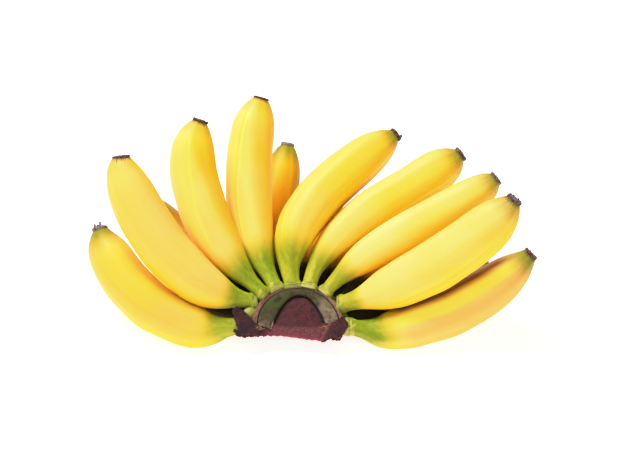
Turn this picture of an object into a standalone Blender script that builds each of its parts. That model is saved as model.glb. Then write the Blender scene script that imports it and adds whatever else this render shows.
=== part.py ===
"""A hand of baby bananas, lying on its rounded side on a flat surface.

Two rows of short plump fingers fan out around a half-round crown. Each finger has
a dried blossom end on its tip, and the crown still carries a dried bract.
Units are metres, +X is the hand's right, +Y points away from the cut crown, +Z is up.
"""

from dataclasses import dataclass
from math import cos, pi, radians, sin

import bmesh
import bpy
from mathutils import Matrix, Vector

MM = 0.001

# The crown's cut face is a tilted half ellipse. A seat is an angle on its edge.
FACE_HALF_WIDTH = 31.0 * MM
FACE_ARCH = 24.7 * MM
FACE_TILT = radians(32)
FACE_HEIGHT = 13.8 * MM

# The lower row's seats lie on a second, smaller half ellipse under the first.
LOWER_HALF_WIDTH = 29.0 * MM
LOWER_REACH = 19.0 * MM
LOWER_SETBACK = 1.0 * MM
LOWER_HEIGHT = 9.5 * MM
LOWER_RISE = 5.0 * MM

# A finger's section is a soft pentagon: ridges at the full girth, flats inside it.
RIDGES = 5
SECTION_SIDES = 10
FLAT_SHARE = 0.965
BELLY_SHARE = 0.45

SPINE_STEPS = 60

# Where a finger's radius steps up, as shares of its neck's length and of its girth.
COLLAR_SHARE = 0.3
SLOPE_SHARE = 0.62
FILLED_SHARE = 1.45
PEDICEL_FLARE = 0.03
SLOPE_GIRTH = 0.54
NECK_GIRTH = 0.78
FILLED_GIRTH = 0.91
LATE_GIRTH = 0.985
TIP_DROPS = (0.17, 0.36)
TIP_SHARE = 0.31

REST_CUT = 0.5 * MM
GAP = 0.35 * MM
SOCKET_LENGTH = 9.0 * MM
SOCKET_GAP = 0.6 * MM

# The dried end's rings, as shares of the tip's radius, and how much less its odd points reach.
BLOSSOM_SIDES = 8
BLOSSOM_FOOT = 0.96
BLOSSOM_WAIST = (1.02, 0.05)
BLOSSOM_CREST = (0.86, 0.14)
BLOSSOM_HOLLOW = 0.45
WAIST_HEIGHT = 0.5
HOLLOW_HEIGHT = 0.7


@dataclass(frozen=True)
class Finger:
    """One banana: its seat on the crown, its directions along its length and its size.

    A direction is (azimuth, rise) in degrees, azimuth from +Y towards +X.
    """

    seat: float
    leave: tuple
    belly: tuple
    tip: tuple
    length: float
    girth: float
    pedicel: float = 0.325
    neck: float = 0.24
    shoulder: float = 0.88
    blossom: float = 1.5
    prongs: float = 0.3


UPPER_ROW = (
    Finger(-89, (-100, -17), (-60, 17), (-24, 38), 110, 14.7, neck=0.19, blossom=2.2, prongs=2.6),
    Finger(-53, (-94, 10), (-63, 43), (-30, 55), 116, 14.8, pedicel=0.275, neck=0.19, blossom=1.2),
    Finger(-37, (-57, 27), (-36, 42), (38, 50), 110, 13.9, 0.27, 0.28, 0.87, blossom=1.2),
    Finger(-21, (-31, 16), (-8, 38), (30, 54), 116, 13.6, 0.285, 0.27, 0.92, blossom=1.1),
    Finger(-3, (-20, 28), (43, 26), (59, 21), 116, 13.8, pedicel=0.315, neck=0.22, blossom=2.0, prongs=1.4),
    Finger(15, (8, 15), (67, 28), (64, 28), 120, 12.5, neck=0.28, shoulder=1.0),
    Finger(34, (42, 23), (83, 31), (62, 29), 116, 12.0, shoulder=0.93),
    Finger(58, (90, 19), (95, 39), (83, 53), 120, 14.8, neck=0.21),
    Finger(91, (91, -17), (78, 19), (66, 41), 113, 14.4, neck=0.20, shoulder=0.83),
)
LOWER_ROW = (
    Finger(-61, (-58, -9), (-45, 6), (-29, 23), 100, 11.1, pedicel=0.33),
    Finger(-40, (-34, -6), (-38, 2), (-48, 28), 112, 11.2, pedicel=0.33),
    Finger(-22, (-14, -20), (4, 18), (14, 44), 120, 12.5, pedicel=0.32, neck=0.22),
    Finger(2, (7, -8), (12, 0), (18, 22), 109, 10.7, pedicel=0.38, neck=0.21),
    Finger(24, (23, -6), (25, -1), (27, 16), 106, 10.7, pedicel=0.37, neck=0.22),
    Finger(46, (43, -4), (41, -1), (42, 10), 106, 10.6, pedicel=0.34),
    Finger(68, (63, -5), (62, 2), (65, 7), 96, 10.7, pedicel=0.33),
)

# The crown's levels from the pocket's mouth outwards and down to its rounded back:
# height over the cut face, half width, arch and front reach, all in millimetres.
CROWN_LEVELS = (
    (1.2, 15.5, 15.5, 0.5),
    (2.0, 22.5, 20.3, 0.5),
    (2.8, 24.8, 21.2, 0.5),
    (3.2, 28.4, 22.8, 0.5),
    (1.6, 30.2, 24.0, 0.5),
    (-3.0, 31.0, 25.6, 0.5),
    (-5.5, 31.5, 28.0, 2.2),
    (-8.0, 29.0, 26.0, 2.2),
    (-11.0, 24.5, 18.5, 2.2),
    (-13.0, 17.0, 10.5, 1.0),
)
POCKET = (15.0, 16.6)
POCKET_MIDDLE = 2.6 * MM
POCKET_FLOOR = -2.6 * MM
POCKET_OPENING = 12.0 * MM
POCKET_FOOT = -6.0 * MM
FRONT_CUT = 0.6 * MM
CROWN_POINTS = 36
DOME_STEPS = 16

# The dried bract fills the pocket and spreads in a strip along the crown's front.
BRACT_STRIP = (
    (27.5, -1.8), (28.6, -4.6), (23.0, -7.4), (15.0, -8.8),
    (0.0, -7.6), (-16.0, -6.9), (-28.5, -8.2), (-32.5, -6.8), (-27.5, -5.4), (-24.5, -1.8),
)
BRACT_FLOOR = -2.2 * MM
BRACT_TOP = 1.2 * MM
LEFT_FLAP = (
    (-28.0, -1.2), (-19.5, 0.2), (-20.5, 3.6), (-25.5, 9.0), (-30.0, 11.4), (-33.8, 9.0), (-32.6, 3.0),
)
LEFT_FLAP_LEVELS = (5.2 * MM, 6.6 * MM)
RIGHT_FLAP = ((20.5, -0.8), (28.2, -1.2), (30.0, 2.2), (26.0, 4.4), (22.0, 1.8))
RIGHT_FLAP_LEVELS = (4.6 * MM, 6.0 * MM)


def clear_scene():
    """Removes every object of the scene."""
    for old in list(bpy.data.objects):
        bpy.data.objects.remove(old, do_unlink=True)


def finish(name, colour, roughness):
    """Returns a Principled material of one colour."""
    material = bpy.data.materials.new(name)
    material.use_nodes = True
    shader = material.node_tree.nodes["Principled BSDF"]
    shader.inputs["Base Color"].default_value = (*colour, 1.0)
    shader.inputs["Roughness"].default_value = roughness
    shader.inputs["Metallic"].default_value = 0.0
    return material


def place_mesh(name, mesh, material, hand):
    """Turns a bmesh into a named object under the hand's empty."""
    bmesh.ops.recalc_face_normals(mesh, faces=mesh.faces)
    data = bpy.data.meshes.new(name)
    mesh.to_mesh(data)
    mesh.free()
    data.shade_smooth()
    data.set_sharp_from_angle(angle=radians(40))
    data.materials.append(material)
    piece = bpy.data.objects.new(name, data)
    bpy.context.scene.collection.objects.link(piece)
    piece.parent = hand
    return piece


def heading(direction):
    """Returns the unit vector of an (azimuth, rise) pair in degrees."""
    azimuth, rise = radians(direction[0]), radians(direction[1])
    return Vector((sin(azimuth) * cos(rise), cos(azimuth) * cos(rise), sin(rise)))


def face_point(across, along, over):
    """Returns the point that lies so far across, along and over the crown's cut face."""
    return Vector((
        across,
        along * cos(FACE_TILT) - over * sin(FACE_TILT),
        FACE_HEIGHT + along * sin(FACE_TILT) + over * cos(FACE_TILT),
    ))


def upper_seat(angle):
    """Returns where an upper finger leaves the crown."""
    turn = radians(angle)
    return face_point(FACE_HALF_WIDTH * sin(turn), FACE_ARCH * cos(turn), 0.0)


def lower_seat(angle):
    """Returns where a lower finger leaves the crown."""
    turn = radians(angle)
    return Vector((
        LOWER_HALF_WIDTH * sin(turn),
        LOWER_SETBACK + LOWER_REACH * cos(turn),
        LOWER_HEIGHT + LOWER_RISE * cos(turn),
    ))


def direction_at(finger, share):
    """Returns a finger's heading at a share of its length, curved through its three directions."""
    rest_of_way = 1 - BELLY_SHARE
    at_leave = (share - BELLY_SHARE) * (share - 1) / BELLY_SHARE
    at_belly = share * (1 - share) / (BELLY_SHARE * rest_of_way)
    at_tip = share * (share - BELLY_SHARE) / rest_of_way
    mixed = (
        heading(finger.leave) * at_leave
        + heading(finger.belly) * at_belly
        + heading(finger.tip) * at_tip
    )
    return mixed.normalized()


def radius_table(finger):
    """Returns (share of length, share of girth) pairs from the pedicel to the blunt tip."""
    neck, shoulder = finger.neck, finger.shoulder
    return (
        (0.0, finger.pedicel),
        (COLLAR_SHARE * neck, finger.pedicel + PEDICEL_FLARE),
        (SLOPE_SHARE * neck, SLOPE_GIRTH),
        (neck, NECK_GIRTH),
        (FILLED_SHARE * neck, FILLED_GIRTH),
        (0.50, 1.0),
        (0.68, LATE_GIRTH),
        (0.78, (LATE_GIRTH + shoulder) / 2 + 0.01),
        (0.85, shoulder),
        (0.92, shoulder - TIP_DROPS[0]),
        (0.965, shoulder - TIP_DROPS[1]),
        (1.0, TIP_SHARE),
    )


def spine(finger, seat):
    """Returns (share, point, heading) down the middle of a finger, one per row of its table."""
    steps = SPINE_STEPS
    point = seat.copy()
    path = [(0.0, point.copy())]
    for step in range(steps):
        middle = direction_at(finger, (step + 0.5) / steps)
        point += middle * (finger.length * MM / steps)
        path.append(((step + 1) / steps, point.copy()))
    found = []
    for share, _ in radius_table(finger):
        low = min(int(share * steps), steps - 1)
        start, end = path[low], path[low + 1]
        along = (share - start[0]) / (end[0] - start[0])
        found.append((share, start[1].lerp(end[1], along), direction_at(finger, share)))
    return found


def ring_frame(point, forward):
    """Returns the matrix that puts a flat ring at a point, facing forward, a ridge on top."""
    side = forward.cross(Vector((0, 0, 1))).normalized()
    top = side.cross(forward).normalized()
    turn = Matrix((side, top, forward)).transposed().to_4x4()
    return Matrix.Translation(point) @ turn


def add_ring(mesh, frame, radii, heights=None):
    """Adds one vertex for each radius round a ring, lifted along the ring's axis by its height."""
    count = len(radii)
    ring = []
    for index, radius in enumerate(radii):
        turn = 2 * pi * index / count
        lift = heights[index] if heights else 0.0
        ring.append(mesh.verts.new(frame @ Vector((radius * sin(turn), radius * cos(turn), lift))))
    return ring


def skin(mesh, rings):
    """Bridges rings of equal count one after another and closes both ends."""
    count = len(rings[0])
    for low, high in zip(rings, rings[1:]):
        for index in range(count):
            after = (index + 1) % count
            mesh.faces.new((low[index], low[after], high[after], high[index]))
    mesh.faces.new(rings[0][::-1])
    mesh.faces.new(rings[-1])


def section_radii(radius):
    """Returns the radii round a soft pentagon, a ridge on every second point."""
    every = SECTION_SIDES // RIDGES
    return [radius * (1.0 if index % every == 0 else FLAT_SHARE) for index in range(SECTION_SIDES)]


def finger_mesh(finger, seat):
    """Returns the closed solid of a finger, cut flat where it meets the surface."""
    mesh = bmesh.new()
    rings = []
    for (_, point, forward), (_, share) in zip(spine(finger, seat), radius_table(finger)):
        rings.append(add_ring(mesh, ring_frame(point, forward), section_radii(share * finger.girth * MM)))
    skin(mesh, rings)
    cut_flat(mesh)
    return mesh


def cut_flat(mesh):
    """Cuts off what reaches below the resting plane and closes the cut with a flat face."""
    cut = bmesh.ops.bisect_plane(
        mesh,
        geom=mesh.verts[:] + mesh.edges[:] + mesh.faces[:],
        dist=1e-7,
        plane_co=(0, 0, REST_CUT),
        plane_no=(0, 0, -1),
        clear_outer=True,
    )
    edges = [item for item in cut["geom_cut"] if isinstance(item, bmesh.types.BMEdge)]
    if edges:
        bmesh.ops.edgeloop_fill(mesh, edges=edges)


def blossom_mesh(finger, seat):
    """Returns the dried, ragged disc on a finger's tip, with prongs where the flower's parts stay."""
    _, point, forward = spine(finger, seat)[-1]
    radius = TIP_SHARE * finger.girth * MM
    frame = ring_frame(point + forward * GAP, forward)
    every_other = [index % 2 for index in range(BLOSSOM_SIDES)]
    foot = [radius * BLOSSOM_FOOT] * BLOSSOM_SIDES
    waist = [radius * (BLOSSOM_WAIST[0] - BLOSSOM_WAIST[1] * odd) for odd in every_other]
    crest = [radius * (BLOSSOM_CREST[0] - BLOSSOM_CREST[1] * odd) for odd in every_other]
    hollow = [radius * BLOSSOM_HOLLOW] * BLOSSOM_SIDES
    height = finger.blossom * MM
    peaks = [height + finger.prongs * MM * odd for odd in every_other]
    mesh = bmesh.new()
    skin(mesh, [
        add_ring(mesh, frame, foot),
        add_ring(mesh, frame, waist, [height * WAIST_HEIGHT] * BLOSSOM_SIDES),
        add_ring(mesh, frame, crest, peaks),
        add_ring(mesh, frame, hollow, [height * HOLLOW_HEIGHT] * BLOSSOM_SIDES),
    ])
    return mesh


def socket_cutter(finger, seat):
    """Returns the round plug that makes room for a pedicel in the crown, with a gap all round it."""
    start = direction_at(finger, 0.0)
    mesh = bmesh.new()
    reach = COLLAR_SHARE * finger.neck * finger.length * MM
    near = finger.pedicel * finger.girth * MM + SOCKET_GAP
    far = near + PEDICEL_FLARE * finger.girth * MM
    onward = far + (far - near) * (SOCKET_LENGTH - reach) / reach
    skin(mesh, [
        add_ring(mesh, ring_frame(seat - start * GAP, start), [near] * SECTION_SIDES),
        add_ring(mesh, ring_frame(seat + start * SOCKET_LENGTH, start), [onward] * SECTION_SIDES),
    ])
    return mesh


def crown_ring(mesh, over, half_width, arch, front):
    """Adds one closed level of the crown, half round behind and shallow in front."""
    ring = []
    for index in range(CROWN_POINTS):
        turn = 2 * pi * index / CROWN_POINTS
        depth = arch if cos(turn) > 0 else front
        across = half_width * sin(turn)
        if over > 0:
            across += POCKET_MIDDLE * (FACE_HALF_WIDTH - half_width) / FACE_HALF_WIDTH
        ring.append(mesh.verts.new(face_point(across, depth * cos(turn), over)))
    return ring


def crown_mesh():
    """Returns the crown before its pocket and its sockets are cut."""
    mesh = bmesh.new()
    levels = [[value * MM for value in level] for level in CROWN_LEVELS]
    skin(mesh, [crown_ring(mesh, *level) for level in levels][::-1])
    return mesh


def prism(outline, bottom, top):
    """Returns the solid between two heights over the cut face with the given outline."""
    mesh = bmesh.new()
    low = [mesh.verts.new(face_point(across, along, bottom)) for across, along in outline]
    floor = mesh.faces.new(low)
    raised = bmesh.ops.extrude_face_region(mesh, geom=[floor])["geom"]
    lifted = [item for item in raised if isinstance(item, bmesh.types.BMVert)]
    rise = face_point(0, 0, top) - face_point(0, 0, bottom)
    bmesh.ops.translate(mesh, vec=rise, verts=lifted)
    return mesh


def dome_outline(half_width, arch, foot):
    """Returns the half-ellipse outline of the pocket, its straight foot at the given height."""
    arc = [radians(-90 + 180 * step / DOME_STEPS) for step in range(DOME_STEPS + 1)]
    points = [(POCKET_MIDDLE + half_width * sin(turn), arch * cos(turn)) for turn in arc]
    return [(POCKET_MIDDLE - half_width, foot), *points, (POCKET_MIDDLE + half_width, foot)]


def pocket_cutter():
    """Returns the solid that opens the pocket in the crown's face, through its front."""
    half_width, arch = (value * MM for value in POCKET)
    return prism(dome_outline(half_width, arch, POCKET_FOOT), POCKET_FLOOR, POCKET_OPENING)


def bract_mesh():
    """Returns the dried bract: a dome in the pocket and a strip before the crown's front."""
    half_width, arch = (value * MM - GAP for value in POCKET)
    dome = dome_outline(half_width, arch, -FRONT_CUT - GAP)
    strip = [(across * MM, along * MM) for across, along in BRACT_STRIP]
    return prism([*dome, *strip], BRACT_FLOOR, BRACT_TOP)


def cutter_object(name, mesh, hand):
    """Returns a hidden helper that only cuts."""
    cutter = place_mesh(name, mesh, finish(name, (0.5, 0.5, 0.5), 0.5), hand)
    cutter.hide_render = True
    cutter.display_type = "WIRE"
    return cutter


def build_crown(hand):
    """Builds the crown and cuts its pocket, its straight front and a socket for every finger."""
    crown = place_mesh("crown", crown_mesh(), finish("crown_green", (0.16, 0.19, 0.06), 0.7), hand)
    cutters = [cutter_object("pocket_cutter", pocket_cutter(), hand)]
    for row, seat_of in ((UPPER_ROW, upper_seat), (LOWER_ROW, lower_seat)):
        for finger in row:
            mesh = socket_cutter(finger, seat_of(finger.seat))
            cutters.append(cutter_object(f"socket_cutter_{len(cutters)}", mesh, hand))
    for cutter in cutters:
        cut = crown.modifiers.new(cutter.name, "BOOLEAN")
        cut.operation = "DIFFERENCE"
        cut.solver = "EXACT"
        cut.object = cutter


def build_bract(hand):
    """Builds the dried bract and the two torn flaps at its ends."""
    maroon = finish("dried_bract", (0.11, 0.03, 0.035), 0.9)
    place_mesh("dried_bract", bract_mesh(), maroon, hand)
    for name, outline, levels in (
        ("bract_flap_left", LEFT_FLAP, LEFT_FLAP_LEVELS),
        ("bract_flap_right", RIGHT_FLAP, RIGHT_FLAP_LEVELS),
    ):
        points = [(across * MM, along * MM) for across, along in outline]
        place_mesh(name, prism(points, *levels), maroon, hand)


def build_fingers(hand):
    """Builds both rows of fingers, each with its dried blossom end."""
    yellow = finish("ripe_skin", (0.90, 0.62, 0.08), 0.42)
    brown = finish("blossom_scar", (0.12, 0.07, 0.06), 0.9)
    rows = (("upper", UPPER_ROW, upper_seat), ("lower", LOWER_ROW, lower_seat))
    for row_name, row, seat_of in rows:
        for number, finger in enumerate(row, start=1):
            seat = seat_of(finger.seat)
            place_mesh(f"{row_name}_finger_{number}", finger_mesh(finger, seat), yellow, hand)
            place_mesh(f"{row_name}_blossom_{number}", blossom_mesh(finger, seat), brown, hand)


def centre_hand(hand):
    """Moves the hand so that its box stands on the origin, centred under it."""
    bpy.context.view_layer.update()
    corners = [
        piece.matrix_world @ vertex.co
        for piece in hand.children
        if not piece.hide_render
        for vertex in piece.data.vertices
    ]
    low = Vector(min(corner[axis] for corner in corners) for axis in range(3))
    high = Vector(max(corner[axis] for corner in corners) for axis in range(3))
    hand.location = (-(low.x + high.x) / 2, -(low.y + high.y) / 2, -low.z)


def main():
    """Builds the whole hand."""
    clear_scene()
    hand = bpy.data.objects.new("hand", None)
    bpy.context.scene.collection.objects.link(hand)
    build_crown(hand)
    build_bract(hand)
    build_fingers(hand)
    centre_hand(hand)


main()
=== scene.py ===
"""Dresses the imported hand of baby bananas: smooth peel, dried ends, cut crown and papery bract.

Every finger is bent from one straight blank along the middle line of its solid in the frame.
The crown's pieces are modelled flat on a bench and then tilted onto the crown's cut face.
Units are metres; lengths on the crown's face are in millimetres until they are placed.
"""

import logging
from dataclasses import dataclass, fields
from enum import Enum
from math import cos, pi, radians, sin
from typing import Callable, Iterable, Protocol, Sequence, Union

import bpy
import numpy as np
from mathutils import Matrix, Vector


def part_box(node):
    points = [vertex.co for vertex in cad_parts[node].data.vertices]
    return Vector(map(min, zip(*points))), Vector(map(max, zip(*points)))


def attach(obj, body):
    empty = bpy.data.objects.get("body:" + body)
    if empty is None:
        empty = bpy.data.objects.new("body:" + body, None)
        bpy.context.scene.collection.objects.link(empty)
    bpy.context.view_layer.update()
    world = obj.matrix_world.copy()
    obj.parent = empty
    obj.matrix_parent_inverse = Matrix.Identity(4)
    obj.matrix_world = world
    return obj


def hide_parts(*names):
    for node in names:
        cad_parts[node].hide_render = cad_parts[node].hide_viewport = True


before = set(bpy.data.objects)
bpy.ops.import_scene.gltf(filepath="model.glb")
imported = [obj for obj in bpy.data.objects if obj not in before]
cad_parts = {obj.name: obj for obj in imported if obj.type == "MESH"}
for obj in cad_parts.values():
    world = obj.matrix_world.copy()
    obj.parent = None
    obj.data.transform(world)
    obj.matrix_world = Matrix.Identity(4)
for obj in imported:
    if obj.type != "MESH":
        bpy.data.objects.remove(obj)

log = logging.getLogger("banana_hand")

MM = 0.001
BODY = "root"

Colour = tuple[float, float, float]
Point = tuple[float, float]
Place = tuple[float, float, float]
Level = tuple[float, float, float, float]
Row = Sequence[Vector]
Term = Union["Wire", float]
Piece = bpy.types.Object


class Slot(Enum):
    """The record's material slots."""

    SKIN = "ripe_skin"
    SCAR = "blossom_scar"
    CROWN = "crown_green"
    BRACT = "dried_bract"


def linear(red: int, green: int, blue: int) -> Colour:
    """Turns a screen colour of 0 to 255 into the linear values that shaders use."""
    shares = (channel / 255 for channel in (red, green, blue))
    return tuple(s / 12.92 if s <= 0.04045 else ((s + 0.055) / 1.055) ** 2.4 for s in shares)


# Shader building


class Wire:
    """A shader socket that joins Python arithmetic: each operator adds the node that does it."""

    def __init__(self, board: "Board", socket: bpy.types.NodeSocket) -> None:
        """Wraps an output socket of a board."""
        self.board = board
        self.socket = socket

    def _math(self, operation: str, *terms: Term) -> "Wire":
        """Adds one Math node."""
        sockets = dict(enumerate(terms))
        return self.board.node("ShaderNodeMath", {"operation": operation}, sockets)

    def __add__(self, other: Term) -> "Wire":
        """Adds."""
        return self._math("ADD", self, other)

    __radd__ = __add__

    def __sub__(self, other: Term) -> "Wire":
        """Subtracts."""
        return self._math("SUBTRACT", self, other)

    def __rsub__(self, other: float) -> "Wire":
        """Subtracts from a number."""
        return self._math("SUBTRACT", other, self)

    def __mul__(self, other: Term) -> "Wire":
        """Multiplies."""
        return self._math("MULTIPLY", self, other)

    __rmul__ = __mul__

    def reach(self, low: float, high: float) -> "Wire":
        """Eases from 0 at low to 1 at high; high may be the smaller one.

        Args:
            low: The value that gives 0.
            high: The value that gives 1.

        Returns:
            The eased value, held between 0 and 1.
        """
        ends = (low, high, 0.0, 1.0) if low < high else (high, low, 1.0, 0.0)
        settings = {"interpolation_type": "SMOOTHSTEP"}
        return self.board.node("ShaderNodeMapRange", settings, dict(enumerate((self, *ends))))

    def blend(self, nothing: Union["Wire", Colour], full: Union["Wire", Colour]) -> "Wire":
        """Mixes two colours: nothing where this value is 0, full where it is 1."""
        sockets = {0: self, 6: nothing, 7: full}
        return self.board.node("ShaderNodeMix", {"data_type": "RGBA"}, sockets, output=2)

    def stretched(self, along: float, across: float, around: float) -> "Wire":
        """Scales a vector's three parts."""
        sockets = {0: self, 1: (along, across, around)}
        return self.board.node("ShaderNodeVectorMath", {"operation": "MULTIPLY"}, sockets)

    def moved(self, step: Sequence[float]) -> "Wire":
        """Adds a fixed step to a vector."""
        sockets = {0: self, 1: tuple(step)}
        return self.board.node("ShaderNodeVectorMath", {"operation": "ADD"}, sockets)

    def part(self, axis: int) -> "Wire":
        """Returns one part of a vector: 0, 1 or 2."""
        return self.board.node("ShaderNodeSeparateXYZ", {}, {0: self}, output=axis)

    def distance(self, place: Sequence[float]) -> "Wire":
        """Returns how far a vector is from a fixed place."""
        sockets = {0: self, 1: tuple(place)}
        return self.board.node("ShaderNodeVectorMath", {"operation": "DISTANCE"}, sockets, output=1)


class Board:
    """The node board of one material, with its Principled shader."""

    def __init__(self, name: str, **fixed: Union[float, Colour]) -> None:
        """Starts a material.

        Args:
            name: The material's name.
            **fixed: Constants of the Principled shader, with _ for a space in a socket's name.
        """
        self.material = bpy.data.materials.new(name)
        self.material.use_nodes = True
        self.tree = self.material.node_tree
        self.shader = self.tree.nodes["Principled BSDF"]
        for key, value in fixed.items():
            socket = key.replace("_", " ").title().replace("Ior", "IOR")
            self.shader.inputs[socket].default_value = value

    def node(
        self,
        kind: str,
        settings: dict[str, object],
        sockets: dict[Union[int, str], object],
        output: Union[int, str] = 0,
    ) -> Wire:
        """Adds any node.

        Args:
            kind: The node's type.
            settings: Its settings, which are made first.
            sockets: A value or a wire for each input socket.
            output: The output socket to return.

        Returns:
            The wire of that output.
        """
        made = self.tree.nodes.new(kind)
        for key, value in settings.items():
            setattr(made, key, value)
        for key, value in sockets.items():
            if isinstance(value, Wire):
                self.tree.links.new(value.socket, made.inputs[key])
            elif isinstance(value, tuple) and made.inputs[key].type == "RGBA":
                made.inputs[key].default_value = (*value[:3], 1.0)
            else:
                made.inputs[key].default_value = value
        return Wire(self, made.outputs[output])

    def attribute(self, name: str, output: str = "Vector") -> Wire:
        """Reads an attribute of the mesh."""
        return self.node("ShaderNodeAttribute", {"attribute_name": name}, {}, output)

    def place(self) -> Wire:
        """Reads the Object coordinates."""
        return self.node("ShaderNodeTexCoord", {}, {}, "Object")

    def noise(self, where: Wire, scale: float, detail: float = 3.0, rough: float = 0.55) -> Wire:
        """Returns noise between 0 and 1: how fine, its finer layers and how strong those are."""
        sockets = {"Vector": where, "Scale": scale, "Detail": detail, "Roughness": rough}
        return self.node("ShaderNodeTexNoise", {}, sockets, "Fac")

    def dots(self, where: Wire, scale: float) -> Wire:
        """Returns the distance to the nearest of many scattered points."""
        return self.node("ShaderNodeTexVoronoi", {}, {"Vector": where, "Scale": scale}, "Distance")

    def feed(self, socket: str, wire: Wire) -> None:
        """Joins a wire to the shader."""
        self.tree.links.new(wire.socket, self.shader.inputs[socket])

    def bump(self, height: Wire, strength: float, distance: float) -> None:
        """Roughens the surface by a height of 0 to 1; distance is the height of 1 in metres."""
        sockets = {"Height": height, "Strength": strength, "Distance": distance}
        self.feed("Normal", self.node("ShaderNodeBump", {}, sockets, "Normal"))


class Finish(Protocol):
    """What every plain finish offers."""

    def material(self) -> bpy.types.Material:
        """Builds the finish."""


# Modelling by operator


class Bench:
    """Modelling moves that every piece shares."""

    @staticmethod
    def clear() -> None:
        """Leaves edit mode and deselects everything."""
        if bpy.context.mode != "OBJECT":
            bpy.ops.object.mode_set(mode="OBJECT")
        bpy.ops.object.select_all(action="DESELECT")

    @staticmethod
    def hold(*pieces: Piece) -> None:
        """Selects only these pieces.

        Args:
            *pieces: The pieces; the first one becomes active.
        """
        Bench.clear()
        for piece in pieces:
            piece.select_set(True)
        bpy.context.view_layer.objects.active = pieces[0]

    @staticmethod
    def edit(piece: Piece, kind: str = "VERT") -> None:
        """Opens a piece in edit mode with what is selected in its mesh.

        Args:
            piece: The piece.
            kind: VERT, EDGE or FACE, what the selection is made of.
        """
        Bench.hold(piece)
        kinds = ("VERT", "EDGE", "FACE")
        bpy.context.tool_settings.mesh_select_mode = tuple(kind == k for k in kinds)
        bpy.ops.object.mode_set(mode="EDIT")

    @staticmethod
    def edit_all(piece: Piece, kind: str = "VERT") -> None:
        """Opens a piece in edit mode with all of it selected."""
        Bench.edit(piece, kind)
        bpy.ops.mesh.select_all(action="SELECT")

    @staticmethod
    def pick(piece: Piece, kind: str, chosen: Callable[[object], bool]) -> int:
        """Selects the vertices, edges or faces that pass a test and opens edit mode on them.

        Args:
            piece: The piece.
            kind: VERT, EDGE or FACE.
            chosen: The test of one of them.

        Returns:
            How many were chosen.
        """
        Bench.clear()
        mesh = piece.data
        groups = {"VERT": mesh.vertices, "EDGE": mesh.edges, "FACE": mesh.polygons}
        for group in groups.values():
            group.foreach_set("select", [False] * len(group))
        found = [item for item in groups[kind] if chosen(item)]
        for item in found:
            item.select = True
        Bench.edit(piece, kind)
        return len(found)

    @staticmethod
    def fix(piece: Piece) -> None:
        """Puts a piece's place, turn and size into its mesh."""
        Bench.hold(piece)
        bpy.ops.object.transform_apply(location=True, rotation=True, scale=True)

    @staticmethod
    def settle(piece: Piece, angle: float) -> None:
        """Fixes a finished piece and shades it smooth, except over edges sharper than an angle."""
        Bench.fix(piece)
        bpy.ops.object.shade_smooth_by_angle(angle=radians(angle))

    @staticmethod
    def turn_out(piece: Piece) -> None:
        """Merges a piece's doubles and turns every face outwards.

        Args:
            piece: The piece.
        """
        Bench.edit_all(piece)
        bpy.ops.mesh.remove_doubles(threshold=1e-6)
        bpy.ops.mesh.normals_make_consistent(inside=False)
        Bench.clear()

    @staticmethod
    def order(piece: Piece, place: Place) -> None:
        """Numbers a piece's points by how far they are from a place, the same way each run.

        Args:
            piece: The piece.
            place: The place, which no two points are as far from.
        """
        Bench.edit_all(piece)
        cursor = bpy.context.scene.cursor
        cursor.location = place
        bpy.ops.mesh.sort_elements(type="CURSOR_DISTANCE", elements={"VERT"})
        cursor.location = (0, 0, 0)
        Bench.clear()

    @staticmethod
    def roughen(piece: Piece, cuts: int, offset: float, seed: int) -> Piece:
        """Cuts up a new primitive and makes it uneven.

        Args:
            piece: The primitive.
            cuts: How many cuts each edge gets.
            offset: How far a point may move.
            seed: Picks the unevenness.

        Returns:
            The piece.
        """
        Bench.fix(piece)
        Bench.edit_all(piece)
        bpy.ops.mesh.subdivide(number_cuts=cuts)
        bpy.ops.transform.vertex_random(offset=offset, seed=seed)
        Bench.turn_out(piece)
        return piece

    @staticmethod
    def copy(piece: Piece, name: str) -> Piece:
        """Copies a piece with its mesh.

        Args:
            piece: The piece.
            name: The copy's name.

        Returns:
            The copy.
        """
        twin = piece.copy()
        twin.data = piece.data.copy()
        twin.name = name
        bpy.context.scene.collection.objects.link(twin)
        return twin

    @staticmethod
    def modify(piece: Piece, kind: str, **settings: object) -> None:
        """Adds a modifier and applies it.

        Args:
            piece: The piece.
            kind: The modifier's type.
            **settings: Its settings.
        """
        Bench.hold(piece)
        made = piece.modifiers.new(kind.lower(), kind)
        for key, value in settings.items():
            setattr(made, key, value)
        bpy.ops.object.modifier_apply(modifier=made.name)

    @staticmethod
    def crumple(piece: Piece, texture: bpy.types.Texture, height: float) -> None:
        """Moves a surface in and out by a texture.

        Args:
            piece: The piece.
            texture: The texture.
            height: What its full range moves the surface by.
        """
        Bench.modify(
            piece, "DISPLACE", texture=texture, texture_coords="LOCAL", strength=height,
            mid_level=0.5,
        )

    @staticmethod
    def mark(piece: Piece, name: str, values: Sequence[float]) -> None:
        """Writes an attribute on a piece's points.

        Args:
            piece: The piece.
            name: The attribute's name.
            values: One number for each point, or three.
        """
        flat = np.asarray(values, np.float32).ravel()
        single = len(flat) == len(piece.data.vertices)
        kind, key = ("FLOAT", "value") if single else ("FLOAT_VECTOR", "vector")
        piece.data.attributes.new(name, kind, "POINT").data.foreach_set(key, flat)

    @staticmethod
    def join(name: str, pieces: Sequence[Piece]) -> Piece:
        """Joins pieces into the first one.

        Args:
            name: What the first one is then called.
            pieces: The pieces.

        Returns:
            The joined piece.
        """
        Bench.hold(*pieces)
        if len(pieces) > 1:
            bpy.ops.object.join()
        pieces[0].name = name
        pieces[0].data.name = name
        return pieces[0]


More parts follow.
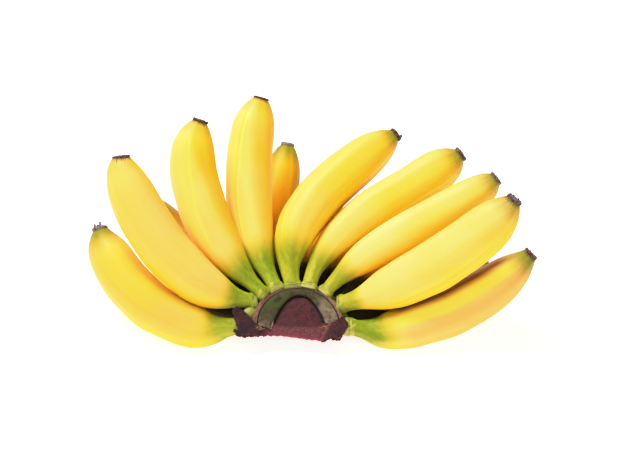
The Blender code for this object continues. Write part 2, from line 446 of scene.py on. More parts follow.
def cloud(name: str, size: float) -> bpy.types.Texture:
    """Returns a soft procedural texture for Displace.

    Args:
        name: The texture's name.
        size: The size of its blobs in metres.

    Returns:
        The texture.
    """
    made = bpy.data.textures.new(name, "CLOUDS")
    made.noise_scale = size
    made.noise_depth = 1
    return made


def deliver(
    piece: Piece, material: bpy.types.Material, slot: Slot, stands_for: Iterable[str]
) -> None:
    """Gives a finished piece its material and its body, and hides the solids it stands for.

    Args:
        piece: The piece.
        material: Its finish.
        slot: The record's slot; not used.
        stands_for: The frame's nodes that it replaces.
    """
    piece.data.materials.clear()
    piece.data.materials.append(material)
    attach(piece, BODY)
    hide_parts(*stands_for)
    log.info("%s: %d faces", piece.name, len(piece.data.polygons))


# Reading the frame


@dataclass(frozen=True)
class Nudge:
    """A local shift of a finger's line in millimetres, and a share added to its radius."""

    share: float
    reach: float
    shift: Place
    swell: float = 0.0


@dataclass(frozen=True)
class Build:
    """How one finger's build departs from its solid's: all small, lengths in millimetres."""

    plump: float = 1.0  # its belly's share of the solid's
    shoulder: float = 0.0  # what is added to its radius before the tip
    blunt: float = 0.0  # what is added to its radius at the tip
    trim: float = 0.0  # how much shorter it is
    lean: Place = (0.0, 0.0, 0.0)  # how far all of it is moved
    nudges: tuple[Nudge, ...] = ()


def bell(shares: np.ndarray, middle: float, reach: float) -> np.ndarray:
    """Returns a bell curve over shares of a length: 1 at its middle, fading over its reach."""
    return np.exp(-(((shares - middle) / reach) ** 2))


@dataclass(frozen=True)
class Spine:
    """The middle line of a finger, evenly spaced, with the radius of its ridges at each point."""

    points: np.ndarray
    radii: np.ndarray

    SHOULDER = (0.9, 0.08)  # where a finger narrows to its tip, and how far this reaches
    TIP = (1.0, 0.06)

    @property
    def length(self) -> float:
        """The line's length in metres."""
        return float(np.linalg.norm(np.diff(self.points, axis=0), axis=1).sum())

    def frame(self, share: float) -> Matrix:
        """Returns the matrix of a cross-section, its Z along the finger and its Y upwards.

        Args:
            share: How far along the finger, from 0 to 1.

        Returns:
            The matrix.
        """
        last = len(self.points) - 1
        low = min(int(share * last), last - 1)
        rest = share * last - low
        place = Vector(self.points[low] * (1 - rest) + self.points[low + 1] * rest)
        near = max(low - 1, 0)
        forward = Vector(self.points[min(near + 3, last)] - self.points[near]).normalized()
        side = forward.cross(Vector((0, 0, 1))).normalized()
        top = side.cross(forward).normalized()
        return Matrix.Translation(place) @ Matrix((side, top, forward)).transposed().to_4x4()

    def shaped(self, build: Build) -> "Spine":
        """Adjusts the line and its radii to one finger's build.

        Args:
            build: The finger's build.

        Returns:
            The adjusted line.
        """
        shares = np.linspace(0, 1, len(self.radii))
        belly = np.sqrt(np.clip(np.sin(pi * shares), 0, None))
        thicker = 1 + (build.plump - 1) * belly + build.shoulder * bell(shares, *self.SHOULDER)
        thicker = thicker + build.blunt * bell(shares, *self.TIP)
        points = self.points + shares[:, None] * np.array(build.lean) * MM
        for nudge in build.nudges:
            near = bell(shares, nudge.share, nudge.reach)
            points += near[:, None] * np.array(nudge.shift) * MM
            thicker += near * nudge.swell
        step = points[-1] - points[-2]
        points[-1] -= step / np.linalg.norm(step) * build.trim * MM
        return Spine(points, self.radii * thicker)

    def radius(self, share: float) -> float:
        """Returns the ridge radius at a share of the length."""
        return float(np.interp(share, np.linspace(0, 1, len(self.radii)), self.radii))


@dataclass(frozen=True)
class SpineReader:
    """Reads a finger's middle line by slicing its solid with planes across it."""

    stations: int = 41
    passes: int = 5
    soften: int = 3
    section_area: float = 2.836  # of the solids' ten-sided section, whose ridge radius is 1
    upright: float = 0.995  # a face with a normal this upright is the floor's, not an end's
    same_way: float = 0.99995
    same_height: float = 2e-5
    cap_triangles: int = 7

    def read(self, node: str) -> Spine:
        """Reads one finger.

        Args:
            node: The finger's node.

        Returns:
            Its middle line and radii.
        """
        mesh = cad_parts[node].data
        corners = np.array([mesh.vertices[i].co for face in mesh.polygons for i in face.vertices])
        triangles = corners.reshape(-1, 3, 3)
        (seat, outwards, seat_radius), (tip, onwards, tip_radius) = self._caps(triangles)
        shares = np.linspace(0, 1, self.stations)[:, None]
        reach = np.linalg.norm(tip - seat)
        points = (
            seat * (1 + 2 * shares) * (1 - shares) ** 2
            + tip * (3 - 2 * shares) * shares**2
            - outwards * reach * shares * (1 - shares) ** 2
            - onwards * reach * (1 - shares) * shares**2
        )
        radii = np.full(self.stations, seat_radius)
        radii[-1] = tip_radius
        for _ in range(self.passes):
            headings = np.gradient(points, axis=0)
            for index in range(1, self.stations - 1):
                centre, area = self._slice(triangles, points[index], headings[index])
                points[index] = centre
                radii[index] = np.sqrt(area / self.section_area)
            points = self._spread(points)
        for _ in range(self.soften):
            points[1:-1] = (points[:-2] + 2 * points[1:-1] + points[2:]) / 4
            radii[1:-1] = (radii[:-2] + 2 * radii[1:-1] + radii[2:]) / 4
        return Spine(points, radii)

    def _caps(self, triangles: np.ndarray) -> list[tuple[np.ndarray, np.ndarray, float]]:
        """Finds a finger's flat ends.

        Args:
            triangles: The solid's triangles.

        Returns:
            Each end's middle, outward normal and radius, the crown's end first.
        """
        across = np.cross(triangles[:, 1] - triangles[:, 0], triangles[:, 2] - triangles[:, 0])
        normals = across / np.linalg.norm(across, axis=1, keepdims=True)
        heights = (normals * triangles[:, 0]).sum(1)
        ends = []
        free = np.abs(normals[:, 2]) < self.upright
        for index in range(len(triangles)):
            alike = normals @ normals[index] > self.same_way
            alike &= np.abs(heights - heights[index]) < self.same_height
            if free[index] and alike.sum() >= self.cap_triangles:
                free &= ~alike
                ring = np.unique(np.round(triangles[alike].reshape(-1, 3), 6), axis=0)
                middle = ring.mean(0)
                radius = float(np.linalg.norm(ring - middle, axis=1).max())
                ends.append((middle, normals[index], radius))
        low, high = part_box("crown")
        crown = np.array((low + high) / 2)
        return sorted(ends, key=lambda end: float(np.linalg.norm(end[0] - crown)))

    @staticmethod
    def _slice(
        triangles: np.ndarray, place: np.ndarray, heading: np.ndarray
    ) -> tuple[np.ndarray, float]:
        """Cuts the solid across a heading.

        Args:
            triangles: The solid's triangles.
            place: A point of the cut.
            heading: The way that the cut faces.

        Returns:
            The section's middle and area.
        """
        heading = heading / np.linalg.norm(heading)
        over = (triangles - place) @ heading
        side = over > 0
        cut = side.any(1) & ~side.all(1)
        doubled, moment = np.zeros(3), np.zeros(3)
        for corners, lifts, sides in zip(triangles[cut], over[cut], side[cut]):
            lone = int(np.argmax(sides)) if sides.sum() == 1 else int(np.argmin(sides))
            ends = []
            for other in ((lone + 1) % 3, (lone + 2) % 3):
                share = lifts[lone] / (lifts[lone] - lifts[other])
                ends.append(corners[lone] + share * (corners[other] - corners[lone]) - place)
            if sides.sum() == 1:
                ends.reverse()
            wedge = np.cross(ends[0], ends[1])
            doubled += wedge
            moment += (wedge @ heading) * (ends[0] + ends[1])
        area = float(doubled @ heading)
        return place + moment / (3 * area), abs(area) / 2

    @staticmethod
    def _spread(points: np.ndarray) -> np.ndarray:
        """Spaces points evenly along their line.

        Args:
            points: The line's points.

        Returns:
            As many points, evenly spaced.
        """
        walked = np.concatenate([[0], np.cumsum(np.linalg.norm(np.diff(points, axis=0), axis=1))])
        even = np.linspace(0, walked[-1], len(points))
        return np.stack([np.interp(even, walked, points[:, axis]) for axis in range(3)], axis=1)


# The peel


@dataclass(frozen=True)
class PeelMark:
    """A small dark mark on the peel: where it is, its size and how dark it is."""

    share: float
    turn: float
    length: float
    width: float
    depth: float = 0.8


class PeelTint(Enum):
    """Colours of the peel's stripes; several of them are painted highlights, painted shade and
    painted shadow.
    """

    # painted highlight: bright lines and streaks along ridges
    PAINTED_HIGHLIGHT = linear(255, 240, 92)
    # deep amber: painted shade on undersides and on sides turned from the light
    AMBER = linear(243, 202, 16)
    # deeper amber: painted shade on undersides and over the lower row, which lies under the upper
    # one
    OCHRE = linear(240, 180, 8)
    PEACH = linear(237, 174, 84)
    # painted shadow: dark brown where a finger lies under or against a neighbour
    PAINTED_SHADOW = linear(118, 70, 2)
    SHADE = linear(226, 150, 20)
    # painted highlight: a bright yellow band or line, also where it lifts a shadowed part
    GLOW = linear(255, 252, 96)
    MOSS = linear(140, 158, 44)


@dataclass(frozen=True)
class PeelBand:
    """A stripe along the peel: its sides in degrees, its tint and how it runs."""

    start: float
    end: float
    tint: PeelTint
    strength: float = 0.6
    soft: float = 4.0
    span: tuple[float, float] = (0.25, 0.85)
    twist: float = 0.0


@dataclass(frozen=True)
class PeelFinish:
    """The skin of one finger: green at the stalk, ripe yellow, an olive tinge at the blossom end.

    Its colours also hold painted light and shade: a paler lit side, amber shade on the far side
    and the rims, highlights along the ridges and dark shade near the lower row's stalks.
    A turn is the side of the finger in degrees: 0 is its top, 90 its right side from the stalk.
    """

    name: str
    seed: int = 1
    green_to: float = 0.22
    tinge: float = 0.6
    warmth: float = 0.5
    # strength of the painted highlight along the ridges
    ridge_glow: float = 0.5
    peach: float = 0.0
    tinge_from: float = 0.91
    # the side painted lit and pale, with painted amber shade on the side opposite it
    pale_turn: float = 0.0
    # the side that faces the camera; the rims turned away from it get painted amber shade
    front: float = 0.0
    rays: float = 0.5
    # paints dark shade near the stalk, where the lower row lies under the upper one
    deep: bool = False
    greenness: float = 1.0
    bands: tuple[PeelBand, ...] = ()
    marks: tuple[PeelMark, ...] = ()

    STALK = linear(126, 148, 24)
    STALK_LIGHT = linear(166, 178, 50)
    TURNING = linear(220, 206, 50)
    LEMON = linear(250, 237, 134)
    # painted highlight on the side turned to the light
    PALE = linear(252, 241, 164)
    RIPE = linear(248, 202, 42)
    WARM = linear(246, 190, 50)
    PEACH = linear(247, 196, 84)
    # painted shade on the side turned from the light and on the rims; also the fine speckles
    AMBER = linear(244, 196, 12)
    # painted dark shade near the lower row's stalks
    DEEP = linear(44, 36, 8)
    OLIVE = linear(122, 134, 32)
    DRY = linear(92, 62, 40)

    GIRTH = 13.0  # a finger's usual ridge radius in millimetres
    SUNK = 0.82  # where marks lie, as a share of it

    @staticmethod
    def _side(lay: Wire, turn: float) -> Wire:
        """Returns how far a point lies towards one side of the finger, from -1 to 1."""
        return lay.part(1) * -sin(radians(turn)) + lay.part(2) * cos(radians(turn))

    @staticmethod
    def _turn(board: Board, lay: Wire) -> Wire:
        """Returns the side that a point lies on, in degrees."""
        sockets = {0: lay.part(1) * -1.0, 1: lay.part(2)}
        return board.node("ShaderNodeMath", {"operation": "ARCTAN2"}, sockets) * (180 / pi)

    @staticmethod
    def _band(band: PeelBand, share: Wire, turn: Wire) -> Wire:
        """Finds how much of a stripe shows at a point.

        Args:
            band: The stripe.
            share: The point's share of the finger's length.
            turn: The side that it lies on, in degrees.

        Returns:
            The stripe's strength there.
        """
        off = turn - share * band.twist
        first, last = band.span
        span = share.reach(first - 0.08, first + 0.08) * share.reach(last + 0.08, last - 0.08)
        rising = off.reach(band.start - band.soft, band.start + band.soft)
        falling = off.reach(band.end + band.soft, band.end - band.soft)
        return rising * falling * span * band.strength

    def material(self, length: float) -> bpy.types.Material:
        """Builds the finish.

        Args:
            length: The finger's length in metres.

        Returns:
            The material.
        """
        board = Board(
            self.name, subsurface_weight=0.06, subsurface_scale=0.003,
            subsurface_radius=(1.0, 0.7, 0.25), coat_roughness=0.3, ior=1.28,
        )
        lay = board.attribute("lay")
        share = lay.part(0)
        ridge = board.attribute("ridge", "Fac")
        start = (self.seed * 3.7, self.seed * 1.3, self.seed * 2.1)
        body = lay.stretched(length * 1000, self.GIRTH, self.GIRTH).moved(start)
        streak = board.noise(body.stretched(0.02, 0.28, 0.28), 1.0, 4.0, 0.6)
        fine = board.noise(body.stretched(0.05, 1.6, 1.6), 1.0, 3.0, 0.6)
        patch = board.noise(body.stretched(0.035, 0.07, 0.07), 1.0, 2.0, 0.5)
        mottle = board.noise(body, 0.35, 4.0, 0.6)

        warmer = 0.12 * self.warmth
        tone = (patch * 0.7 + streak * 0.3).reach(0.34 - warmer, 0.66 - warmer)
        colour = tone.blend(self.LEMON, self.RIPE)
        warm = (1 - patch) * 0.6 + (1 - streak) * 0.4
        colour = (warm.reach(0.44, 0.62) * self.warmth).blend(colour, self.WARM)
        # Painted light: the side turned to the light is paler, the side away from it painted amber
        # shade.
        side = self._side(lay, self.pale_turn) + (streak - 0.5) * 0.22 + (patch - 0.5) * 0.4
        if self.peach:
            colour = (mottle.reach(0.2, 0.6) * self.peach).blend(colour, self.PEACH)
        colour = (side.reach(0.35, -0.7) * (0.6 + 0.25 * self.warmth)).blend(colour, self.AMBER)
        colour = (side.reach(0.0, 1.0) * 0.5 * (1.2 - self.warmth)).blend(colour, self.PALE)
        # Painted highlight along the ridges.
        glow = (ridge + (fine - 0.5) * 0.3).reach(0.72, 1.0) * streak.reach(0.38, 0.55)
        colour = (glow * self.ridge_glow * 0.5).blend(colour, self.LEMON)
        turn = self._turn(board, lay)
        # Painted shade: the rims, turned away from the camera-facing front, are amber.
        off = turn - self.front
        rim = board.node("ShaderNodeMath", {"operation": "ABSOLUTE"}, {0: off}).reach(52.0, 92.0)
        colour = (rim * 0.45).blend(colour, self.AMBER)
        # Stripes along the peel, many of them painted highlights, painted shade and painted shadow.
        for band in self.bands:
            shown = self._band(band, share, turn + (streak - 0.5) * 6.0)
            colour = shown.blend(colour, band.tint.value)
        colour = (fine.reach(0.6, 0.75) * 0.16).blend(colour, self.AMBER)

        edge = share + (streak - 0.5) * 0.015 + (patch - 0.5) * 0.06 - ridge * 0.02
        turning = edge.reach(self.green_to * 1.15, self.green_to * 0.7)
        colour = (turning * 0.75).blend(colour, self.TURNING)
        green = edge.reach(self.green_to * 1.0, self.green_to * 0.42)
        stalk = (patch * 0.6 + mottle * 0.4).reach(0.38, 0.62)
        stalk = stalk.blend(self.STALK, self.STALK_LIGHT)
        colour = (green * self.greenness).blend(colour, stalk)

        tip = (share + (streak - 0.5) * 0.05 + (mottle - 0.5) * 0.03).reach(self.tinge_from, 0.99)
        colour = (tip * self.tinge).blend(colour, self.OLIVE)
        around = board.noise(body.stretched(0.12, 0.75, 0.75), 1.0, 3.0, 0.7)
        ray = (share + (around - 0.5) * (0.02 + 0.08 * self.rays)).reach(0.985, 1.0)
        colour = (ray * (0.6 + 0.3 * self.rays)).blend(colour, self.DRY)

        speck = board.dots(body.moved((9.0, 4.0, 7.0)), 0.11).reach(0.05, 0.025)
        colour = (speck * 0.55).blend(colour, self.DRY)
        for mark in self.marks:
            spot = body.stretched(1 / mark.length, 1 / mark.width, 1 / mark.width)
            place = (
                (mark.share * length * 1000 + start[0]) / mark.length,
                (self.GIRTH * self.SUNK * -sin(radians(mark.turn)) + start[1]) / mark.width,
                (self.GIRTH * self.SUNK * cos(radians(mark.turn)) + start[2]) / mark.width,
            )
            near = (spot.distance(place) + (mottle - 0.5) * 1.2).reach(1.0, 0.45)
            colour = (near * mark.depth).blend(colour, self.DRY)
        rough = mottle * 0.12 + fine * 0.08 + 0.40
        # Painted shade: dark near the stalk, where the lower row lies in the gaps under the upper
        # one.
        if self.deep:
            stalk_shade = (share + (mottle - 0.5) * 0.1).reach(0.38, 0.22)
            colour = stalk_shade.blend(colour, self.DEEP)
            rough = rough + stalk_shade * 0.4
        board.feed("Base Color", colour)
        board.feed("Roughness", rough)
        board.feed("Coat Weight", (1 - green) * 0.05)
        board.bump(fine * 0.5 + board.noise(body, 1.6, 3.0) * 0.5, 0.35, 0.0003)
        return board.material


@dataclass(frozen=True)
class FingerBlank:
    """The straight finger that all are bent from: a soft pentagon, its ridges 1 from its middle."""

    ridges: int = 5
    side_share: float = 0.43
    arc_steps: int = 10
    rings: int = 110
    rim: float = 0.10
    rise: float = 0.0024
    sink: float = 0.006
    tip_insets: tuple[float, ...] = (0.35, 0.25)

    def build(self) -> Piece:
        """Models the blank and marks each point with its place on it.

        Returns:
            The blank.
        """
        Bench.clear()
        corner = radians(54)  # half of a pentagon's angle
        size = 1 / (1 - self.side_share * np.tan(corner) * (1 / sin(corner) - 1))
        turned = (pi / 2, 0, pi / 2)
        bpy.ops.mesh.primitive_circle_add(
            vertices=self.ridges, radius=size, fill_type="NGON", rotation=turned
        )
        blank = bpy.context.object
        Bench.fix(blank)
        Bench.edit_all(blank)
        bpy.ops.mesh.bevel(
            offset=self.side_share * size, offset_type="OFFSET", segments=self.arc_steps,
            profile=0.5, affect="VERTICES",
        )
        bpy.ops.mesh.select_all(action="SELECT")
        bpy.ops.mesh.extrude_region_move(TRANSFORM_OT_translate={"value": (1, 0, 0)})
        ends = blank.data.vertices
        Bench.pick(
            blank, "EDGE", lambda e: abs(ends[e.vertices[0]].co.x - ends[e.vertices[1]].co.x) > 0.5
        )
        bpy.ops.mesh.subdivide(number_cuts=self.rings - 1)
        Bench.pick(blank, "FACE", lambda f: f.normal.x > 0.99)
        for step in (self.rise, -self.sink):
            bpy.ops.mesh.inset(thickness=self.rim)
            bpy.ops.transform.translate(value=(step, 0, 0))
        for inset in self.tip_insets:
            bpy.ops.mesh.inset(thickness=inset)
        bpy.ops.mesh.poke()
        Bench.turn_out(blank)
        places = np.array([vertex.co for vertex in blank.data.vertices])
        around = np.arctan2(places[:, 1], places[:, 2])
        Bench.mark(blank, "lay", places)
        Bench.mark(blank, "ridge", np.cos(around * self.ridges / 2) ** 2)
        return blank


@dataclass(frozen=True)
class BlossomLook:
    """What sets one dried end apart: height, ashen share and what stands on it, in millimetres."""

    crust: float = 1.2
    ash: float = 0.3
    prongs: int = 0
    prong_length: float = 2.0
    prong_girth: float = 0.6
    prong_turn: float = 0.0
    knob: float = 0.0


@dataclass(frozen=True)
class FingerLook:
    """What sets one finger's looks apart from its neighbours'."""

    node: str
    finish: PeelFinish
    blossom: BlossomLook = BlossomLook()
    build: Build = Build()


@dataclass(frozen=True)
class ScarFinish:
    """The dried end of a finger: a lilac-grey scar with a dark, ragged crust."""

    name: str = "dried_scar"

    CRUST = linear(58, 36, 36)
    BROWN = linear(112, 82, 70)
    SCAR = linear(134, 110, 116)
    ASH = linear(150, 143, 162)

    def material(self) -> bpy.types.Material:
        """Builds the finish.

        Returns:
            The material.
        """
        board = Board(self.name, roughness=0.85)
        place = board.place()
        inner = board.attribute("inner", "Fac")
        ash = board.attribute("ash", "Fac")
        grain = board.noise(place, 900.0, 4.0, 0.7)
        patch = board.noise(place, 330.0, 2.0)
        pale = (patch * 0.5 + ash * 0.5).reach(0.3, 0.75).blend(self.SCAR, self.ASH)
        rough = grain.reach(0.42, 0.58).blend(self.CRUST, self.BROWN)
        shown = inner * 0.9 + (ash - 0.3) * 0.7 + (grain - 0.5) * 1.1 + (patch - 0.5) * 0.8
        board.feed("Base Color", shown.reach(0.08, 0.42).blend(rough, pale))
        board.bump(grain, 0.8, 0.0005)
        return board.material


@dataclass(frozen=True)
class BlossomEnd:
    """The ragged dried disc on a finger's tip, with prongs where parts of the flower stay.

    Widths are shares of the tip's radius, heights are shares of the crust.
    """

    look: FingerLook
    spine: Spine
    sides: int = 26
    lift: float = 0.1 * MM
    foot: float = 0.97
    crust_steps: tuple[Point, ...] = ((0.55, 1.03), (0.45, 0.9))  # up, then wider or narrower
    scar_steps: tuple[Point, ...] = ((0.16, -0.3), (0.25, 0.2), (0.2, 0.0))  # inwards, then up
    torn_from: float = 0.3
    torn: float = 0.55 * MM
    sort_from: Place = (0.013, 0.0071, 0.0037)  # lopsided, so that every point's distance differs
    prong_lengths: tuple[float, ...] = (1.0, 0.62, 0.8)
    prong_places: tuple[float, ...] = (0.62, 0.45)
    prong_spacing: float = 0.65
    knob_turn: float = pi - 0.6
    knob_place: float = 0.6
    knob_length: float = 2.8 * MM
    spike_sides: int = 9
    spike_top: float = 0.45
    spike_lean: float = 0.22
    spike_torn: float = 0.2 * MM

    @property
    def radius(self) -> float:
        """The radius of the finger's tip."""
        return self.spine.radius(1.0)

    def build(self, scar: bpy.types.Material) -> None:
        """Builds the disc and its prongs as one piece.

        Args:
            scar: The finish of the dried ends.
        """
        node = self.look.node.replace("finger", "blossom")
        piece = Bench.join(f"{node}_scar", [self._disc(), *self._prongs()])
        Bench.mark(piece, "ash", [self.look.blossom.ash] * len(piece.data.vertices))
        piece.matrix_world = self.spine.frame(1.0)
        Bench.settle(piece, 35)
        deliver(piece, scar, Slot.SCAR, [node])

    def _disc(self) -> Piece:
        """Models the disc: a crust that curls up round a sunken scar.

        Returns:
            The disc, on the bench.
        """
        Bench.clear()
        radius, crust = self.radius, self.look.blossom.crust * MM
        place = (0, 0, self.lift)
        bpy.ops.mesh.primitive_circle_add(
            vertices=self.sides, radius=radius * self.foot, fill_type="NGON", location=place
        )
        disc = bpy.context.object
        Bench.fix(disc)
        Bench.edit_all(disc, "FACE")
        for up, wide in self.crust_steps:
            bpy.ops.mesh.extrude_region_move(TRANSFORM_OT_translate={"value": (0, 0, crust * up)})
            bpy.ops.transform.resize(value=(wide, wide, 1))
        for inwards, up in self.scar_steps:
            bpy.ops.mesh.inset(thickness=radius * inwards)
            bpy.ops.transform.translate(value=(0, 0, crust * up))
        bpy.ops.mesh.poke()
        bpy.ops.mesh.select_all(action="SELECT")
        bpy.ops.mesh.subdivide(number_cuts=1)
        Bench.order(disc, self.sort_from)
        Bench.pick(disc, "VERT", lambda v: v.co.z > crust * self.torn_from)
        bpy.ops.transform.vertex_random(offset=self.torn, seed=self.look.finish.seed)
        Bench.turn_out(disc)
        spread = [1 - min(vertex.co.xy.length / radius, 1.0) for vertex in disc.data.vertices]
        Bench.mark(disc, "inner", spread)
        return disc

    def _prongs(self) -> list[Piece]:
        """Models what stands on the disc: a row of bent prongs, and a dark knob at its lower edge.

        Returns:
            The prongs and the knob, on the bench.
        """
        shape, made = self.look.blossom, []
        for index in range(shape.prongs):
            turn = radians(shape.prong_turn) + (index - (shape.prongs - 1) / 2) * self.prong_spacing
            length = shape.prong_length * MM * self.prong_lengths[index % len(self.prong_lengths)]
            out = self.radius * self.prong_places[index % len(self.prong_places)]
            made.append(self._spike(turn, out, length, shape.prong_girth * MM, index))
        if shape.knob:
            out = self.radius * self.knob_place
            made.append(self._spike(self.knob_turn, out, self.knob_length, shape.knob * MM, 7))
        return made

    def _spike(self, turn: float, out: float, length: float, girth: float, number: int) -> Piece:
        """Models one blunt, uneven cone that stands on the disc and leans outwards.

        Args:
            turn: The side of the disc that it stands on, in radians.
            out: How far it is from the disc's middle.
            length: Its height.
            girth: The radius of its foot.
            number: Picks its unevenness.

        Returns:
            The spike.
        """
        Bench.clear()
        foot = self.look.blossom.crust * 0.6 * MM
        bpy.ops.mesh.primitive_cone_add(
            vertices=self.spike_sides, radius1=girth, radius2=girth * self.spike_top, depth=length,
            location=(out * sin(turn), out * cos(turn), length * 0.5 + foot),
            rotation=(-self.spike_lean * cos(turn), self.spike_lean * sin(turn), turn),
        )
        return Bench.roughen(bpy.context.object, 2, self.spike_torn, self.look.finish.seed + number)


@dataclass(frozen=True)
class Fingers:
    """Both rows of bananas, each with its dried blossom end."""

    looks: Sequence[FingerLook]
    spines: dict[str, Spine]
    waviness: float = 0.7 * MM
    wave_size: float = 26.0 * MM
    floor_height: float = 0.05 * MM

    def build(self) -> None:
        """Builds every finger and its blossom end."""
        blank = FingerBlank().build()
        waves = cloud("peel_waves", self.wave_size)
        scar = ScarFinish().material()
        for look in self.looks:
            spine = self.spines[look.node].shaped(look.build)
            self._finger(look, spine, blank, waves)
            BlossomEnd(look, spine).build(scar)
        bpy.data.objects.remove(blank)

    def _finger(
        self, look: FingerLook, spine: Spine, blank: Piece, waves: bpy.types.Texture
    ) -> None:
        """Bends one finger from the blank along its middle line.

        Args:
            look: The finger's looks.
            spine: Its middle line.
            blank: The straight blank, which is copied.
            waves: The texture that makes the peel wavy.
        """
        piece = Bench.copy(blank, f"{look.node}_peel")
        guide = self._guide(spine)
        piece.scale.x = guide.data.splines[0].calc_length()
        Bench.fix(piece)
        Bench.modify(piece, "CURVE", object=guide, deform_axis="POS_X")
        Bench.crumple(piece, waves, self.waviness)
        if Bench.pick(piece, "VERT", lambda v: v.co.z < self.floor_height):
            bpy.ops.transform.resize(value=(1, 1, 0), center_override=(0, 0, self.floor_height))
        bpy.data.objects.remove(guide)
        Bench.settle(piece, 60)
        deliver(piece, look.finish.material(spine.length), Slot.SKIN, [look.node])

    @staticmethod
    def _guide(spine: Spine) -> Piece:
        """Draws the curve that a blank is bent along, with its radius at each point.

        Args:
            spine: The finger's middle line.

        Returns:
            The curve.
        """
        curve = bpy.data.curves.new("guide", "CURVE")
        curve.dimensions = "3D"
        curve.twist_mode = "Z_UP"
        curve.use_radius = True
        curve.resolution_u = 4
        line = curve.splines.new("NURBS")
        line.points.add(len(spine.points) - 1)
        for knot, place, radius in zip(line.points, spine.points, spine.radii):
            knot.co = (*place, 1.0)
            knot.radius = float(radius)
        line.order_u = 4
        line.use_endpoint_u = True
        guide = bpy.data.objects.new("guide", curve)
        bpy.context.scene.collection.objects.link(guide)
        return guide


# The looks of every finger, from left to right in each row


def look_of(
    row: str, number: int, seed: int, blossom: BlossomLook, build: Build, **peel: object
) -> FingerLook:
    """Names a finger's looks after its row and number; peel has the fields of its PeelFinish."""
    finish = PeelFinish(f"peel_{row}_{number}", seed, **peel)
    return FingerLook(f"{row}_finger_{number}", finish, blossom, build)


def tip_turn(across: float, away: float) -> Nudge:
    """Returns the nudge that turns a tip to the right or away, by millimetres."""
    return Nudge(1.1, 0.12, (across, away, 0.0))
